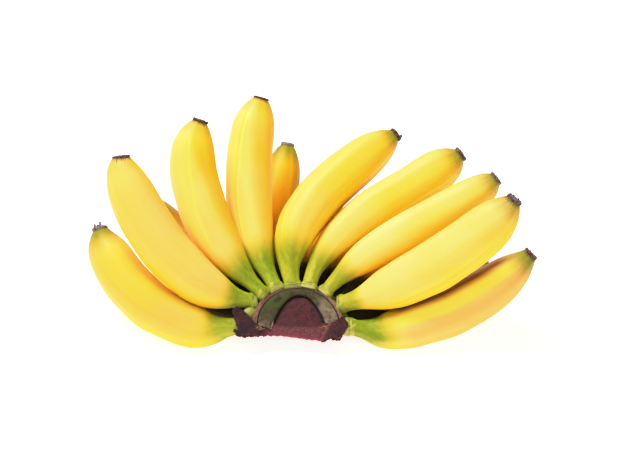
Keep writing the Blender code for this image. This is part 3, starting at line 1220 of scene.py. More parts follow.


# Each finger's stripes paint highlights along its ridges, amber shade on its shaded side and
# underside, and shadow where it lies under a neighbour, besides its own colours.
UPPER_LOOKS = (
    look_of(
        "upper", 1, 1,
        BlossomLook(1.6, 0.7, prongs=3, prong_length=4.6, prong_girth=1.2, prong_turn=190),
        Build(
            plump=0.965, shoulder=0.03, lean=(1.2, 0.0, 0.5),
            nudges=(Nudge(0.08, 0.05, (0.0, 0.0, 0.9), -0.04), tip_turn(1.6, 0.0)),
        ),
        green_to=0.19, tinge=0.95, warmth=1.0, ridge_glow=0.1, peach=0.75, tinge_from=0.84,
        front=-38, rays=0.1,
        bands=(
            PeelBand(-60, -56, PeelTint.SHADE, 0.15, 3.0, (0.3, 0.8)),
            PeelBand(-70, -30, PeelTint.PEACH, 0.3, 14.0, (0.3, 0.95)),
            PeelBand(-12, 70, PeelTint.GLOW, 0.5, 14.0, (0.1, 0.62)),
            PeelBand(46, 130, PeelTint.PAINTED_SHADOW, 0.7, 6.0, (0.1, 0.5)),
            PeelBand(-60, 20, PeelTint.AMBER, 0.4, 22.0, (0.45, 0.85)),
        ),
    ),
    look_of(
        "upper", 2, 2,
        BlossomLook(1.1, 0.15),
        Build(0.98, blunt=0.1, trim=0.5, lean=(-0.7, 0.0, 0.0), nudges=(tip_turn(4.5, 0.0),)),
        green_to=0.16, tinge=0.3, warmth=0.75, ridge_glow=0.2, peach=0.45, front=-38, rays=0.6,
        bands=(PeelBand(-46, -43, PeelTint.SHADE, 0.14, 2.0, (0.15, 0.55)),),
    ),
    look_of(
        "upper", 3, 3,
        BlossomLook(1.4, 0.2),
        Build(1.03, shoulder=0.06, blunt=0.06, trim=0.8, lean=(-1.0, 0.0, 0.0)),
        green_to=0.26, tinge=0.35, warmth=0.6, ridge_glow=0.3, pale_turn=-60, front=-15, rays=0.5,
        bands=(
            PeelBand(-94, -87, PeelTint.PAINTED_HIGHLIGHT, 0.7, 4.0, (0.3, 0.95), 106),
            PeelBand(-124, -98, PeelTint.PAINTED_HIGHLIGHT, 0.3, 10.0, (0.3, 0.9), 106),
            PeelBand(5, 90, PeelTint.AMBER, 0.35, 20.0, (0.3, 0.95)),
        ),
    ),
    look_of(
        "upper", 4, 4,
        BlossomLook(1.1, 0.2),
        Build(1.01, shoulder=0.06, blunt=0.08, trim=0.4, lean=(0.7, 0.0, 0.0)),
        green_to=0.25, tinge=0.35, warmth=0.65, ridge_glow=0.3, pale_turn=-45, front=2, rays=0.15,
        bands=(
            PeelBand(-65, -58, PeelTint.PAINTED_HIGHLIGHT, 0.8, 4.0, (0.25, 0.95), 60),
            PeelBand(-86, -70, PeelTint.PAINTED_HIGHLIGHT, 0.35, 8.0, (0.25, 0.9), 60),
            PeelBand(-69, -67, PeelTint.SHADE, 0.35, 1.5, (0.25, 0.9), 60),
        ),
    ),
    look_of(
        "upper", 5, 5,
        BlossomLook(1.9, 0.15, knob=1.5),
        Build(1.015, trim=0.8),
        green_to=0.26, tinge=0.8, warmth=0.8, ridge_glow=0.3, tinge_from=0.9, pale_turn=-25,
        front=37, rays=0.1, greenness=0.88,
        bands=(
            PeelBand(100, 104, PeelTint.PAINTED_HIGHLIGHT, 0.7, 3.0, (0.35, 0.95)),
            PeelBand(108, 180, PeelTint.OCHRE, 0.8, 3.0, (0.3, 1.0)),
            PeelBand(123, 180, PeelTint.PAINTED_SHADOW, 0.7, 6.0, (0.2, 0.75)),
            PeelBand(-34, -26, PeelTint.GLOW, 0.5, 4.0, (0.15, 0.5)),
            PeelBand(10, 94, PeelTint.AMBER, 0.4, 22.0, (0.5, 1.05)),
        ),
        marks=(PeelMark(0.89, -4, 5.0, 0.8),),
    ),
    look_of(
        "upper", 6, 6,
        BlossomLook(1.8, 0.5),
        Build(1.03, shoulder=0.06, blunt=0.15, trim=0.7, lean=(0.3, 0.0, -0.6)),
        green_to=0.22, tinge=0.7, warmth=0.6, ridge_glow=0.3, tinge_from=0.9, pale_turn=-20,
        front=45, rays=0.2, greenness=0.8,
        bands=(
            PeelBand(91, 95, PeelTint.PAINTED_HIGHLIGHT, 0.7, 3.0, (0.25, 0.98)),
            PeelBand(99, 180, PeelTint.AMBER, 0.8, 3.0, (0.25, 1.0)),
            PeelBand(130, 180, PeelTint.PAINTED_SHADOW, 0.7, 6.0, (0.2, 0.75)),
            PeelBand(10, 88, PeelTint.AMBER, 0.4, 22.0, (0.55, 1.05)),
        ),
    ),
    look_of(
        "upper", 7, 7,
        BlossomLook(1.8, 0.6),
        Build(blunt=0.15, trim=0.8),
        green_to=0.19, tinge=0.7, warmth=0.35, ridge_glow=0.3, tinge_from=0.9, pale_turn=-10,
        front=47, rays=0.1, greenness=0.78,
        bands=(
            PeelBand(132, 180, PeelTint.PAINTED_SHADOW, 0.6, 6.0, (0.2, 0.7)),
            PeelBand(0, 90, PeelTint.AMBER, 0.3, 22.0, (0.6, 1.05)),
        ),
        marks=(PeelMark(0.8, 74, 3.6, 1.2, 1.0), PeelMark(0.7, 78, 3.0, 1.4, 0.35)),
    ),
    look_of(
        "upper", 8, 8,
        BlossomLook(1.8, 0.45),
        Build(1.01, shoulder=0.03, trim=0.9, nudges=(tip_turn(0.0, 4.0),)),
        green_to=0.11, tinge=0.6, warmth=0.5, ridge_glow=0.2, peach=0.3, front=60, rays=0.25,
        greenness=0.7,
        bands=(
            PeelBand(104, 106, PeelTint.SHADE, 0.5, 1.5, (0.15, 0.8)),
            PeelBand(110, 112, PeelTint.SHADE, 0.5, 1.5, (0.15, 0.7)),
        ),
    ),
    look_of(
        "upper", 9, 9,
        BlossomLook(1.8, 0.45),
        Build(
            0.98,
            nudges=(Nudge(0.15, 0.06, (0.0, 0.0, -1.1), 0.06), Nudge(0.36, 0.12, (0.0, 0.0, 0.5))),
        ),
        green_to=0.24, tinge=0.9, warmth=0.5, ridge_glow=0.3, peach=0.4, tinge_from=0.87,
        pale_turn=30, front=50, rays=0.1,
        bands=(
            PeelBand(12, 46, PeelTint.GLOW, 1.0, 8.0, (0.2, 0.92)),
            PeelBand(-120, 6, PeelTint.PAINTED_SHADOW, 0.95, 12.0, (0.1, 0.93)),
            PeelBand(60, 175, PeelTint.PEACH, 0.7, 15.0, (0.25, 0.98)),
        ),
    ),
)

LOWER_COUNT = 7
LOWER_SEED = 20
LOWER_BUILD = Build(shoulder=0.05, blunt=0.06, trim=1.0)
LOWER_BUILDS = {
    2: Build(0.95, 0.03, lean=(-1.6, 0.0, 1.2), nudges=(Nudge(1.0, 0.3, (-2.0, 0.0, 2.2)),)),
}
# Painted shadow on the second lower finger, where it shows in a gap under the upper row, and on the
# third's left side and its half towards the stalk; the third's ochre is painted shade too.
LOWER_BANDS = {
    2: (
        PeelBand(-70, 130, PeelTint.PAINTED_SHADOW, 0.75, 12.0, (0.3, 1.1)),
        PeelBand(-70, 130, PeelTint.MOSS, 0.45, 12.0, (0.85, 1.1)),
    ),
    3: (
        PeelBand(-6, 44, PeelTint.OCHRE, 0.6, 6.0, (0.0, 0.92)),
        PeelBand(-90, -24, PeelTint.PAINTED_SHADOW, 0.45, 12.0, (0.0, 1.1)),
        PeelBand(-180, 180, PeelTint.PAINTED_SHADOW, 0.4, 1.0, (0.0, 0.55)),
    ),
}

# The lower row lies under the upper one: its colours paint dark shade near the stalks, a shadow on
# one side and deep amber shade on the side next to it; the moss is the tips' own tinge.
LOWER_LOOKS = tuple(
    look_of(
        "lower", number, LOWER_SEED + number, BlossomLook(1.6, 0.9),
        LOWER_BUILDS.get(number, LOWER_BUILD),
        green_to=0.24, tinge=0.85, warmth=1.0, ridge_glow=0.2, tinge_from=0.86, pale_turn=-60,
        front=20, deep=True, rays=0.1,
        bands=(
            PeelBand(44, 110, PeelTint.PAINTED_SHADOW, 0.35, 4.0, (0.0, 1.0)),
            PeelBand(-120, 0, PeelTint.OCHRE, 0.75, 12.0, (0.0, 0.92)),
            PeelBand(12, 36, PeelTint.MOSS, 0.75, 6.0, (0.93, 1.1)),
            *LOWER_BANDS.get(number, ()),
        ),
    )
    for number in range(1, LOWER_COUNT + 1)
)


@dataclass(frozen=True)
class CutFace:
    """The crown's tilted cut face: its origin and the way from the bench onto it."""

    origin: Vector
    tilt: float = radians(32)

    @classmethod
    def of_crown(cls, behind: float = 2.12 * MM, under: float = 14.8 * MM) -> "CutFace":
        """Finds the face from the crown's box: behind its front and under its top."""
        low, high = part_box("crown")
        return cls(Vector(((low.x + high.x) / 2, low.y + behind, high.z - under)))

    @property
    def frame(self) -> Matrix:
        """The matrix from the bench to the face."""
        return Matrix.Translation(self.origin) @ Matrix.Rotation(self.tilt, 4, "X")


# Lofts on the bench


@dataclass(frozen=True)
class Arch:
    """Half of an oval on the cut face, in millimetres, from its left foot to its right one."""

    middle: float
    left: float
    right: float
    top: float
    left_foot: float
    right_foot: float
    left_slope: float = 1.0
    right_slope: float = 1.0

    def point(self, share: float) -> Point:
        """Returns the point at a share of the way from the left foot to the right one.

        Args:
            share: From 0 to 1.

        Returns:
            The point, across and along the face.
        """
        turn = pi * (share - 0.5)
        if share < 0.5:
            foot, reach, slope = self.left_foot, self.left, self.left_slope
        else:
            foot, reach, slope = self.right_foot, self.right, self.right_slope
        lift = max(cos(turn), 0.0) ** slope
        return self.middle + reach * sin(turn), foot + (self.top - foot) * lift

    def towards(self, other: "Arch", share: float) -> "Arch":
        """Returns the arch that lies a share of the way to another one.

        Args:
            other: The other arch.
            share: From 0, this arch, to 1, the other one.

        Returns:
            The arch between them.
        """
        names = (field.name for field in fields(self))
        mixed = (getattr(self, n) * (1 - share) + getattr(other, n) * share for n in names)
        return Arch(*mixed)


class Loft:
    """A surface grown on the bench: each row is extruded from the last and laid on its points."""

    def __init__(self, name: str, first: Row, closed: bool = False) -> None:
        """Starts with one row.

        Args:
            name: The piece's name.
            first: The points of the first row, in metres.
            closed: Whether the rows close on themselves.
        """
        Bench.clear()
        bpy.ops.mesh.primitive_circle_add(vertices=len(first), radius=0.01, fill_type="NOTHING")
        self.piece = bpy.context.object
        self.piece.name = name
        if not closed:
            last = len(first) - 1
            Bench.pick(self.piece, "EDGE", lambda e: set(e.vertices) == {0, last})
            bpy.ops.mesh.delete(type="EDGE")
            Bench.clear()
        self.rows = [list(range(len(first)))]
        self._lay(first)

    @classmethod
    def through(cls, name: str, rows: Iterable[Row], closed: bool = False) -> "Loft":
        """Grows a loft through all its rows.

        Args:
            name: The piece's name.
            rows: The rows, with as many points in each.
            closed: Whether the rows close on themselves.

        Returns:
            The loft.
        """
        first, *rest = rows
        loft = cls(name, first, closed)
        for row in rest:
            loft.grow(row)
        return loft

    def _lay(self, points: Row) -> None:
        """Puts the newest row on its points."""
        for index, point in zip(self.rows[-1], points):
            self.piece.data.vertices[index].co = point

    def grow(self, points: Row) -> None:
        """Adds one row.

        Args:
            points: The row's points, as many as in the first row.
        """
        before = set(self.rows[-1])
        mesh = self.piece.data
        places = {tuple(mesh.vertices[i].co): order for order, i in enumerate(self.rows[-1])}
        old_count = len(mesh.vertices)
        Bench.pick(self.piece, "VERT", lambda v: v.index in before)
        bpy.ops.mesh.extrude_region_move()
        Bench.clear()
        row = [0] * len(points)
        for vertex in mesh.vertices[old_count:]:
            row[places[tuple(vertex.co)]] = vertex.index
        self.rows.append(row)
        self._lay(points)

    def close_ends(self) -> "Loft":
        """Fills every open border with faces.

        Returns:
            This loft.
        """
        Bench.edit_all(self.piece)
        bpy.ops.mesh.fill_holes(sides=0)
        Bench.clear()
        return self

    def close_round(self) -> "Loft":
        """Joins the last row to the first one.

        Returns:
            This loft.
        """
        first, last = set(self.rows[0]), set(self.rows[-1])
        Bench.pick(
            self.piece, "EDGE", lambda e: set(e.vertices) <= first or set(e.vertices) <= last
        )
        bpy.ops.mesh.bridge_edge_loops()
        Bench.clear()
        return self

    def finish(self) -> Piece:
        """Marks every point with its share along its row and across the rows.

        Returns:
            The piece, its faces turned outwards.
        """
        lay = np.zeros((len(self.piece.data.vertices), 3))
        for number, row in enumerate(self.rows):
            lay[row, 0] = np.arange(len(row)) / (len(row) - 1)
            lay[row, 1] = number / (len(self.rows) - 1)
        Bench.mark(self.piece, "lay", lay)
        Bench.turn_out(self.piece)
        return self.piece


def jitter(seed: float, size: float) -> float:
    """Returns a fixed uneven value between -size and size."""
    return size * (sin(seed * 12.9898) * 0.6 + sin(seed * 4.1414 + 1.3) * 0.4)


def bench_point(across: float, along: float, over: float) -> Vector:
    """Returns a point of the bench from millimetres."""
    return Vector((across, along, over)) * MM


# The crown


@dataclass(frozen=True)
class CushionFinish:
    """The crown's horseshoe: dull, mottled grey-green with a purple outline and a few scratches,
    with a painted sheen at its ends and a painted lit line on its inner left edge.
    """

    name: str = "crown_cushion"

    GREY = linear(78, 70, 46)
    DARK = linear(46, 42, 24)
    GREEN = linear(66, 78, 22)
    PURPLE = linear(54, 32, 46)
    # the painted sheen
    SHEEN = linear(164, 146, 124)
    PINK = linear(226, 190, 172)
    SCRATCH = linear(156, 84, 34)

    def material(self) -> bpy.types.Material:
        """Builds the finish.

        Returns:
            The material.
        """
        board = Board(self.name, ior=1.3)
        place = board.place()
        lay = board.attribute("lay")
        along, over = lay.part(0), lay.part(1)
        grain = board.noise(place, 900.0, 4.0, 0.7)
        patch = board.noise(place, 240.0, 3.0, 0.6)
        blotch = board.noise(place.moved((0.31, 0.17, 0.05)), 130.0, 2.0)
        colour = patch.reach(0.35, 0.62).blend(self.DARK, self.GREY)
        colour = (blotch.reach(0.48, 0.62) * 0.85).blend(colour, self.GREEN)
        spots = board.noise(place.moved((0.6, 0.4, 0.1)), 420.0, 2.0).reach(0.58, 0.68)
        colour = (spots * 0.4).blend(colour, self.GREEN)
        colour = (grain.reach(0.4, 0.7) * 0.45).blend(colour, self.GREY)
        # Painted sheen: a patchy painted highlight over the right end, and a fainter one at the
        # left end.
        sheen = along.reach(0.62, 0.86) * patch.reach(0.15, 0.65)
        colour = (sheen * 0.7).blend(colour, self.SHEEN)
        colour = (along.reach(0.12, 0.0) * patch.reach(0.4, 0.7) * 0.4).blend(colour, self.SHEEN)
        scratch = board.noise(place.stretched(1.0, 2.4, 1.0), 1100.0, 1.0).reach(0.7, 0.76)
        colour = (scratch * along.reach(0.2, 0.08)).blend(colour, self.SCRATCH)
        wobble = (patch - 0.5) * 0.1
        colour = (over + wobble * 0.4).reach(0.6, 0.66).blend(colour, self.PURPLE)
        inner = (over + wobble * 0.4).reach(0.26, 0.2)
        # Painted highlight: a pale pink lit line along the inner edge at the left end.
        colour = (inner * along.reach(0.14, 0.08)).blend(colour, self.PINK)
        colour = (inner * along.reach(0.10, 0.2) * 0.7).blend(colour, self.PURPLE)
        board.feed("Base Color", colour)
        board.feed("Roughness", grain * 0.25 + 0.5)
        board.bump(grain * 0.6 + patch * 0.4, 0.6, 0.0005)
        return board.material


@dataclass(frozen=True)
class RimFinish:
    """The dried layers round the cushion: pink-brown, with a dark line between layers."""

    name: str = "dried_layers"

    TAN = linear(192, 148, 124)
    BROWN = linear(140, 94, 78)
    RED = linear(120, 52, 44)

    def material(self) -> bpy.types.Material:
        """Builds the finish.

        Returns:
            The material.
        """
        board = Board(self.name, roughness=0.8)
        place = board.place()
        lay = board.attribute("lay")
        fibre = board.noise(lay.stretched(7.0, 60.0, 1.0), 1.0, 4.0, 0.65)
        grain = board.noise(place, 800.0, 3.0, 0.6)
        colour = fibre.reach(0.32, 0.62).blend(self.BROWN, self.TAN)
        colour = (fibre.reach(0.42, 0.3) * 0.8).blend(colour, self.RED)
        colour = (grain.reach(0.55, 0.8) * 0.3).blend(colour, self.BROWN)
        board.feed("Base Color", colour)
        board.bump(fibre, 0.8, 0.0006)
        return board.material


@dataclass(frozen=True)
class CollarFinish:
    """The feet of the stalks: pale green, a yellow lip, then the stalk's own green."""

    name: str = "crown_collars"

    MOSS = linear(160, 162, 84)
    GREEN = linear(138, 148, 60)
    LIP = linear(206, 204, 72)
    TAN = linear(184, 164, 74)

    def material(self) -> bpy.types.Material:
        """Builds the finish.

        Returns:
            The material.
        """
        board = Board(self.name, roughness=0.5)
        place = board.place()
        over = board.attribute("lay").part(1)
        grain = board.noise(place, 500.0, 3.0, 0.6)
        patch = board.noise(place, 150.0, 2.0)
        foot = patch.reach(0.35, 0.65).blend(self.GREEN, self.MOSS)
        stalk = patch.reach(0.35, 0.65).blend(PeelFinish.STALK, PeelFinish.STALK_LIGHT)
        colour = over.reach(0.38, 0.46).blend(foot, stalk)
        lip = board.attribute("lip", "Fac")
        edge = over.reach(0.4, 0.46) * over.reach(0.64, 0.5) * grain.reach(0.2, 0.5)
        colour = (edge * lip * 0.8).blend(colour, self.LIP)
        tan = (patch * 0.7 + grain * 0.5).reach(0.5, 0.9) * (1 - lip) * over.reach(0.95, 0.5)
        colour = (tan * 0.75).blend(colour, self.TAN)
        board.feed("Base Color", colour)
        board.bump(grain, 0.5, 0.0003)
        return board.material


@dataclass(frozen=True)
class CrownBodyFinish:
    """The crown under its face: olive green, mottled with moss green and brown."""

    name: str = "crown_body"

    OLIVE = linear(112, 116, 44)
    BROWN = linear(70, 54, 30)
    MOSS = linear(136, 142, 52)

    def material(self) -> bpy.types.Material:
        """Builds the finish.

        Returns:
            The material.
        """
        board = Board(self.name, roughness=0.65)
        place = board.place()
        grain = board.noise(place, 420.0, 4.0, 0.65)
        patch = board.noise(place, 90.0, 3.0)
        colour = patch.reach(0.35, 0.65).blend(self.OLIVE, self.MOSS)
        colour = (grain.reach(0.45, 0.7) * 0.6).blend(colour, self.BROWN)
        board.feed("Base Color", colour)
        board.bump(grain, 0.7, 0.0006)
        return board.material


@dataclass(frozen=True)
class Crown:
    """The crown: a rounded body, the horseshoe cushion on its cut face, dried layers and collars.

    Lengths are in millimetres on the bench.
    """

    face: CutFace
    spines: dict[str, Spine]
    inner: Arch = Arch(2.4, 15.4, 14.4, 17.5, -2.6, 0.8, 1.55, 1.75)
    outer: Arch = Arch(2.0, 23.2, 22.9, 21.5, 0.2, 1.2, 0.92, 1.15)
    rim: Arch = Arch(2.0, 26.0, 25.0, 21.8, -0.5, 0.5, 0.75, 0.87)
    body_points: int = 72
    body_levels: tuple[Level, ...] = (  # height, half width, depth behind and in front
        (-3.0, 26.0, 22.0, 0.5), (-2.4, 29.4, 24.6, 0.6), (-3.2, 30.6, 25.8, 0.8),
        (-5.0, 31.0, 27.2, 1.6), (-6.6, 30.4, 27.2, 2.0), (-8.4, 28.6, 25.0, 2.1),
        (-10.0, 26.0, 20.6, 2.1), (-11.4, 23.0, 16.4, 1.8), (-12.6, 18.0, 11.2, 1.2),
        (-13.0, 12.0, 6.5, 0.8),
    )
    body_lumps: Point = (6.0, 0.8)  # their size and height
    arch_points: int = 97
    cushion_rows: tuple[Point, ...] = (
        (0.02, -2.4), (0.0, 0.4), (0.0, 1.9), (0.03, 2.5), (0.1, 2.85), (0.26, 3.0), (0.46, 3.05),
        (0.68, 3.0), (0.86, 2.85), (0.95, 2.5), (1.0, 1.9), (1.01, 1.0), (1.0, -1.0), (0.9, -2.4),
        (0.4, -2.6),
    )
    cushion_rough: float = 0.06
    rim_rows: tuple[Point, ...] = (
        (0.0, -0.6), (0.02, 1.9), (0.1, 2.8), (0.2, 3.0), (0.26, 2.4), (0.36, 2.8), (0.46, 3.0),
        (0.52, 2.3), (0.62, 2.6), (0.74, 2.7), (0.8, 1.9), (0.9, 1.9), (1.0, 1.3), (1.03, -1.5),
    )
    rim_rough: float = 0.16
    collar_sides: int = 30
    collar_reach: tuple[Place, ...] = (  # how far up the stalk, how wide, how high at most
        (-3.6, 1.12, 1.6), (-3.0, 1.18, 2.5), (-2.0, 1.2, 2.7), (-1.3, 1.2, 2.8),
        (-1.05, 1.15, 2.6), (-0.85, 1.21, 3.0), (-0.2, 1.2, 3.3), (0.8, 1.13, 3.7),
        (1.7, 1.04, 4.4), (2.6, 0.96, 9.0), (3.5, 0.84, 9.0),
    )
    collar_starts: tuple[Point, ...] = ((6, -3.0), (7, -2.6), (8, -2.4))  # clear of the horseshoe
    plain_collars: tuple[int, ...] = (1, 8, 9)
    stub_size: Place = (4.8, 3.6, 3.2)
    stub_place: Place = (-26.0, 7.0, 0.4)
    stub_turn: float = radians(35)

    def build(self) -> None:
        """Builds the crown's four pieces."""
        self._body()
        horseshoe, layers = (self.inner, self.outer), (self.outer, self.rim)
        self._band(
            "crown_cushion", self.cushion_rows, horseshoe, self.cushion_rough, CushionFinish(), 70
        )
        self._band("dried_layers", self.rim_rows, layers, self.rim_rough, RimFinish(), 35)
        self._collars()

    def _deliver(self, piece: Piece, finish: Finish, angle: float = 50.0) -> None:
        """Tilts a piece onto the face and delivers it.

        Args:
            piece: The piece, on the bench.
            finish: Its finish.
            angle: The angle in degrees above which an edge stays sharp.
        """
        piece.matrix_world = self.face.frame @ piece.matrix_world
        Bench.settle(piece, angle)
        deliver(piece, finish.material(), Slot.CROWN, ["crown"])

    def _body(self) -> None:
        """Models the rounded body from its levels."""
        rows = []
        for over, half, behind, front in self.body_levels:
            row = []
            for index in range(self.body_points):
                turn = 2 * pi * index / self.body_points
                depth = behind if cos(turn) > 0 else front
                row.append(bench_point(half * sin(turn), depth * cos(turn), over))
            rows.append(row)
        body = Loft.through("crown_body", rows, closed=True).close_ends().finish()
        size, height = self.body_lumps
        Bench.crumple(body, cloud("crown_lumps", size * MM), height * MM)
        self._deliver(body, CrownBodyFinish())

    def _band(
        self, name: str, rows: Sequence[Point], arches: tuple[Arch, Arch], rough: float,
        finish: Finish, angle: float,
    ) -> None:
        """Models a closed band that follows the face from one arch to another.

        Args:
            name: The piece's name.
            rows: For each row, its share of the way between the arches and its height.
            arches: The arches of shares 0 and 1.
            rough: How uneven the height is.
            finish: Its finish.
            angle: The angle in degrees above which an edge stays sharp.
        """
        points = []
        for number, (share, over) in enumerate(rows):
            arch = arches[0].towards(arches[1], share)
            row = []
            for index in range(self.arch_points):
                across, along = arch.point(index / (self.arch_points - 1))
                uneven = jitter(index * 0.37 + number * 1.9, rough)
                uneven += jitter(index * 0.071 + number, rough)
                row.append(bench_point(across, along, over + uneven))
            points.append(row)
        band = Loft.through(name, points).close_round().close_ends().finish()
        self._deliver(band, finish, angle)

    def _collars(self) -> None:
        """Models a collar round the foot of every upper stalk, and the knob beside them."""
        collars = [self._collar(number) for number in range(1, len(UPPER_LOOKS) + 1)]
        piece = Bench.join("crown_collars", [*collars, self._stub()])
        Bench.settle(piece, 60)
        deliver(piece, CollarFinish().material(), Slot.CROWN, ["crown"])

    def _collar(self, number: int) -> Piece:
        """Models one collar, low enough on its upper side to show the stalk.

        Args:
            number: The number of its finger.

        Returns:
            The collar, in its place.
        """
        spine = self.spines[f"upper_finger_{number}"]
        foot, radius = spine.frame(0.0), spine.radius(0.0)
        start = dict(self.collar_starts).get(number, self.collar_reach[0][0])
        rows = []
        for onward, wide, cap in self.collar_reach:
            row = []
            for index in range(self.collar_sides):
                turn = 2 * pi * index / self.collar_sides
                reach = radius * wide
                high = min(reach * cos(turn), cap * MM)
                row.append(foot @ Vector((reach * sin(turn), high, max(onward, start) * MM)))
            rows.append(row)
        collar = Loft.through(f"collar_{number}", rows, closed=True).close_ends().finish()
        lip = float(number not in self.plain_collars)
        Bench.mark(collar, "lip", [lip] * len(collar.data.vertices))
        return collar

    def _stub(self) -> Piece:
        """Models the small green knob that stands between the first two stalks.

        Returns:
            The knob, in its place.
        """
        Bench.clear()
        bpy.ops.mesh.primitive_uv_sphere_add(segments=24, ring_count=14, radius=1.0)
        stub = bpy.context.object
        stub.scale = [value * MM for value in self.stub_size]
        stub.rotation_euler = (0, 0, self.stub_turn)
        Bench.fix(stub)
        stub.data.transform(self.face.frame @ Matrix.Translation(bench_point(*self.stub_place)))
        Bench.mark(stub, "lay", [0.2] * (3 * len(stub.data.vertices)))
        return stub


# The dried bract


@dataclass(frozen=True)
class BractFinish:
    """The dried bract: maroon, speckled red, with a painted shadow along its arch, fuzzy and pink
    at its lower edge.
    """

    name: str
    # painted shadow along the dome's arch, under the cushion
    arch_shade: float = 0.0
    dark: float = 0.0
    fuzz: float = 0.0
    red: float = 0.5
    fade: float = 0.0
    ash: float = 0.0

    MAROON = linear(88, 40, 44)
    DEEP = linear(46, 23, 32)
    RED = linear(130, 42, 34)
    PURPLE = linear(62, 32, 46)
    MAUVE = linear(128, 70, 74)
    HAIR = linear(176, 118, 114)
    BLACK = linear(34, 20, 30)
    LILAC = linear(176, 128, 126)
    MAGENTA = linear(140, 52, 80)
    PINK = linear(200, 104, 134)

    def material(self) -> bpy.types.Material:
        """Builds the finish.

        Returns:
            The material.
        """
        board = Board(self.name, roughness=0.9)
        place = board.place()
        lay = board.attribute("lay")
        across, down = lay.part(0), lay.part(1)
        grain = board.noise(place, 1400.0, 4.0, 0.75)
        patch = board.noise(place, 300.0, 3.0, 0.6)
        blotch = board.noise(place.moved((0.2, 0.1, 0.4)), 120.0, 2.0)
        colour = (patch * 0.4 + grain * 0.6).reach(0.38, 0.58).blend(self.DEEP, self.MAROON)
        colour = (grain.reach(0.5, 0.66) * self.red).blend(colour, self.RED)
        colour = (blotch.reach(0.5, 0.7) * 0.5).blend(colour, self.PURPLE)
        if self.dark:
            colour = (patch.reach(0.2, 0.6) * self.dark).blend(colour, self.DEEP)
            smudge = (blotch * 0.6 + patch * 0.4).reach(0.46, 0.56)
            colour = (smudge * 0.75).blend(colour, self.BLACK)
            rust = board.noise(place.moved((0.7, 0.3, 0.2)), 200.0, 3.0).reach(0.54, 0.66)
            colour = (rust * grain.reach(0.4, 0.6) * 0.6).blend(colour, self.RED)
        if self.fade:
            faded = (across + (patch - 0.5) * 0.2).reach(0.34, 0.05) * self.fade
            colour = faded.blend(colour, self.MAUVE)
        if self.ash:
            colour = (patch.reach(0.3, 0.6) * self.ash).blend(colour, self.LILAC)
        # Painted shadow along the dome's border, under the cushion's arch.
        if self.arch_shade:
            border = board.attribute("border", "Fac")
            arch_shadow = (border + (patch - 0.5) * 0.1).reach(0.36, 0.12)
            colour = (arch_shadow * self.arch_shade).blend(colour, self.BLACK)
        if self.fuzz:
            middle = (across + (patch - 0.5) * 0.08).reach(0.27, 0.36)
            pale = (down + (patch - 0.5) * 0.3).reach(0.05, 0.5) * grain.reach(0.3, 0.6) * middle
            colour = (pale * self.fuzz).blend(colour, self.MAUVE)
            hairs = board.noise(place.stretched(1.0, 1.6, 1.6), 2300.0, 2.0, 0.7).reach(0.56, 0.66)
            colour = (hairs * down.reach(0.0, 0.4) * middle * 0.6).blend(colour, self.HAIR)
            glow = (down + (patch - 0.5) * 0.4).reach(0.5, 1.05) * across.reach(0.18, 0.36)
            colour = (glow * 0.55).blend(colour, self.MAGENTA)
            hem = (down + (grain - 0.5) * 0.3).reach(0.88, 1.02) * across.reach(0.2, 0.36)
            colour = (hem * 0.8).blend(colour, self.PINK)
        board.feed("Base Color", colour)
        board.bump(grain * 0.6 + patch * 0.4, 0.9, 0.0007)
        return board.material


@dataclass(frozen=True)
class StrawFinish:
    """The torn fibres: dry straw."""

    name: str

    STRAW = linear(190, 156, 118)
    RUST = linear(150, 104, 76)

    def material(self) -> bpy.types.Material:
        """Builds the finish.

        Returns:
            The material.
        """
        board = Board(self.name, roughness=0.8)
        grain = board.noise(board.place(), 1200.0, 3.0)
        board.feed("Base Color", grain.reach(0.4, 0.6).blend(self.RUST, self.STRAW))
        return board.material


@dataclass(frozen=True)
class Flap:
    """One torn flap: its edges from foot to tip, its side heights and how its middle curls."""

    name: str
    node: str
    edges: tuple[tuple[Point, Point], ...]
    over: Point
    curl: float
    fade: float = 0.0
    ash: float = 0.0


@dataclass(frozen=True)
class Tuft:
    """One tuft of torn fibres: its middle, how far it is scattered and how many it has."""

    name: str
    node: str
    middle: Place
    spread: Point
    count: int


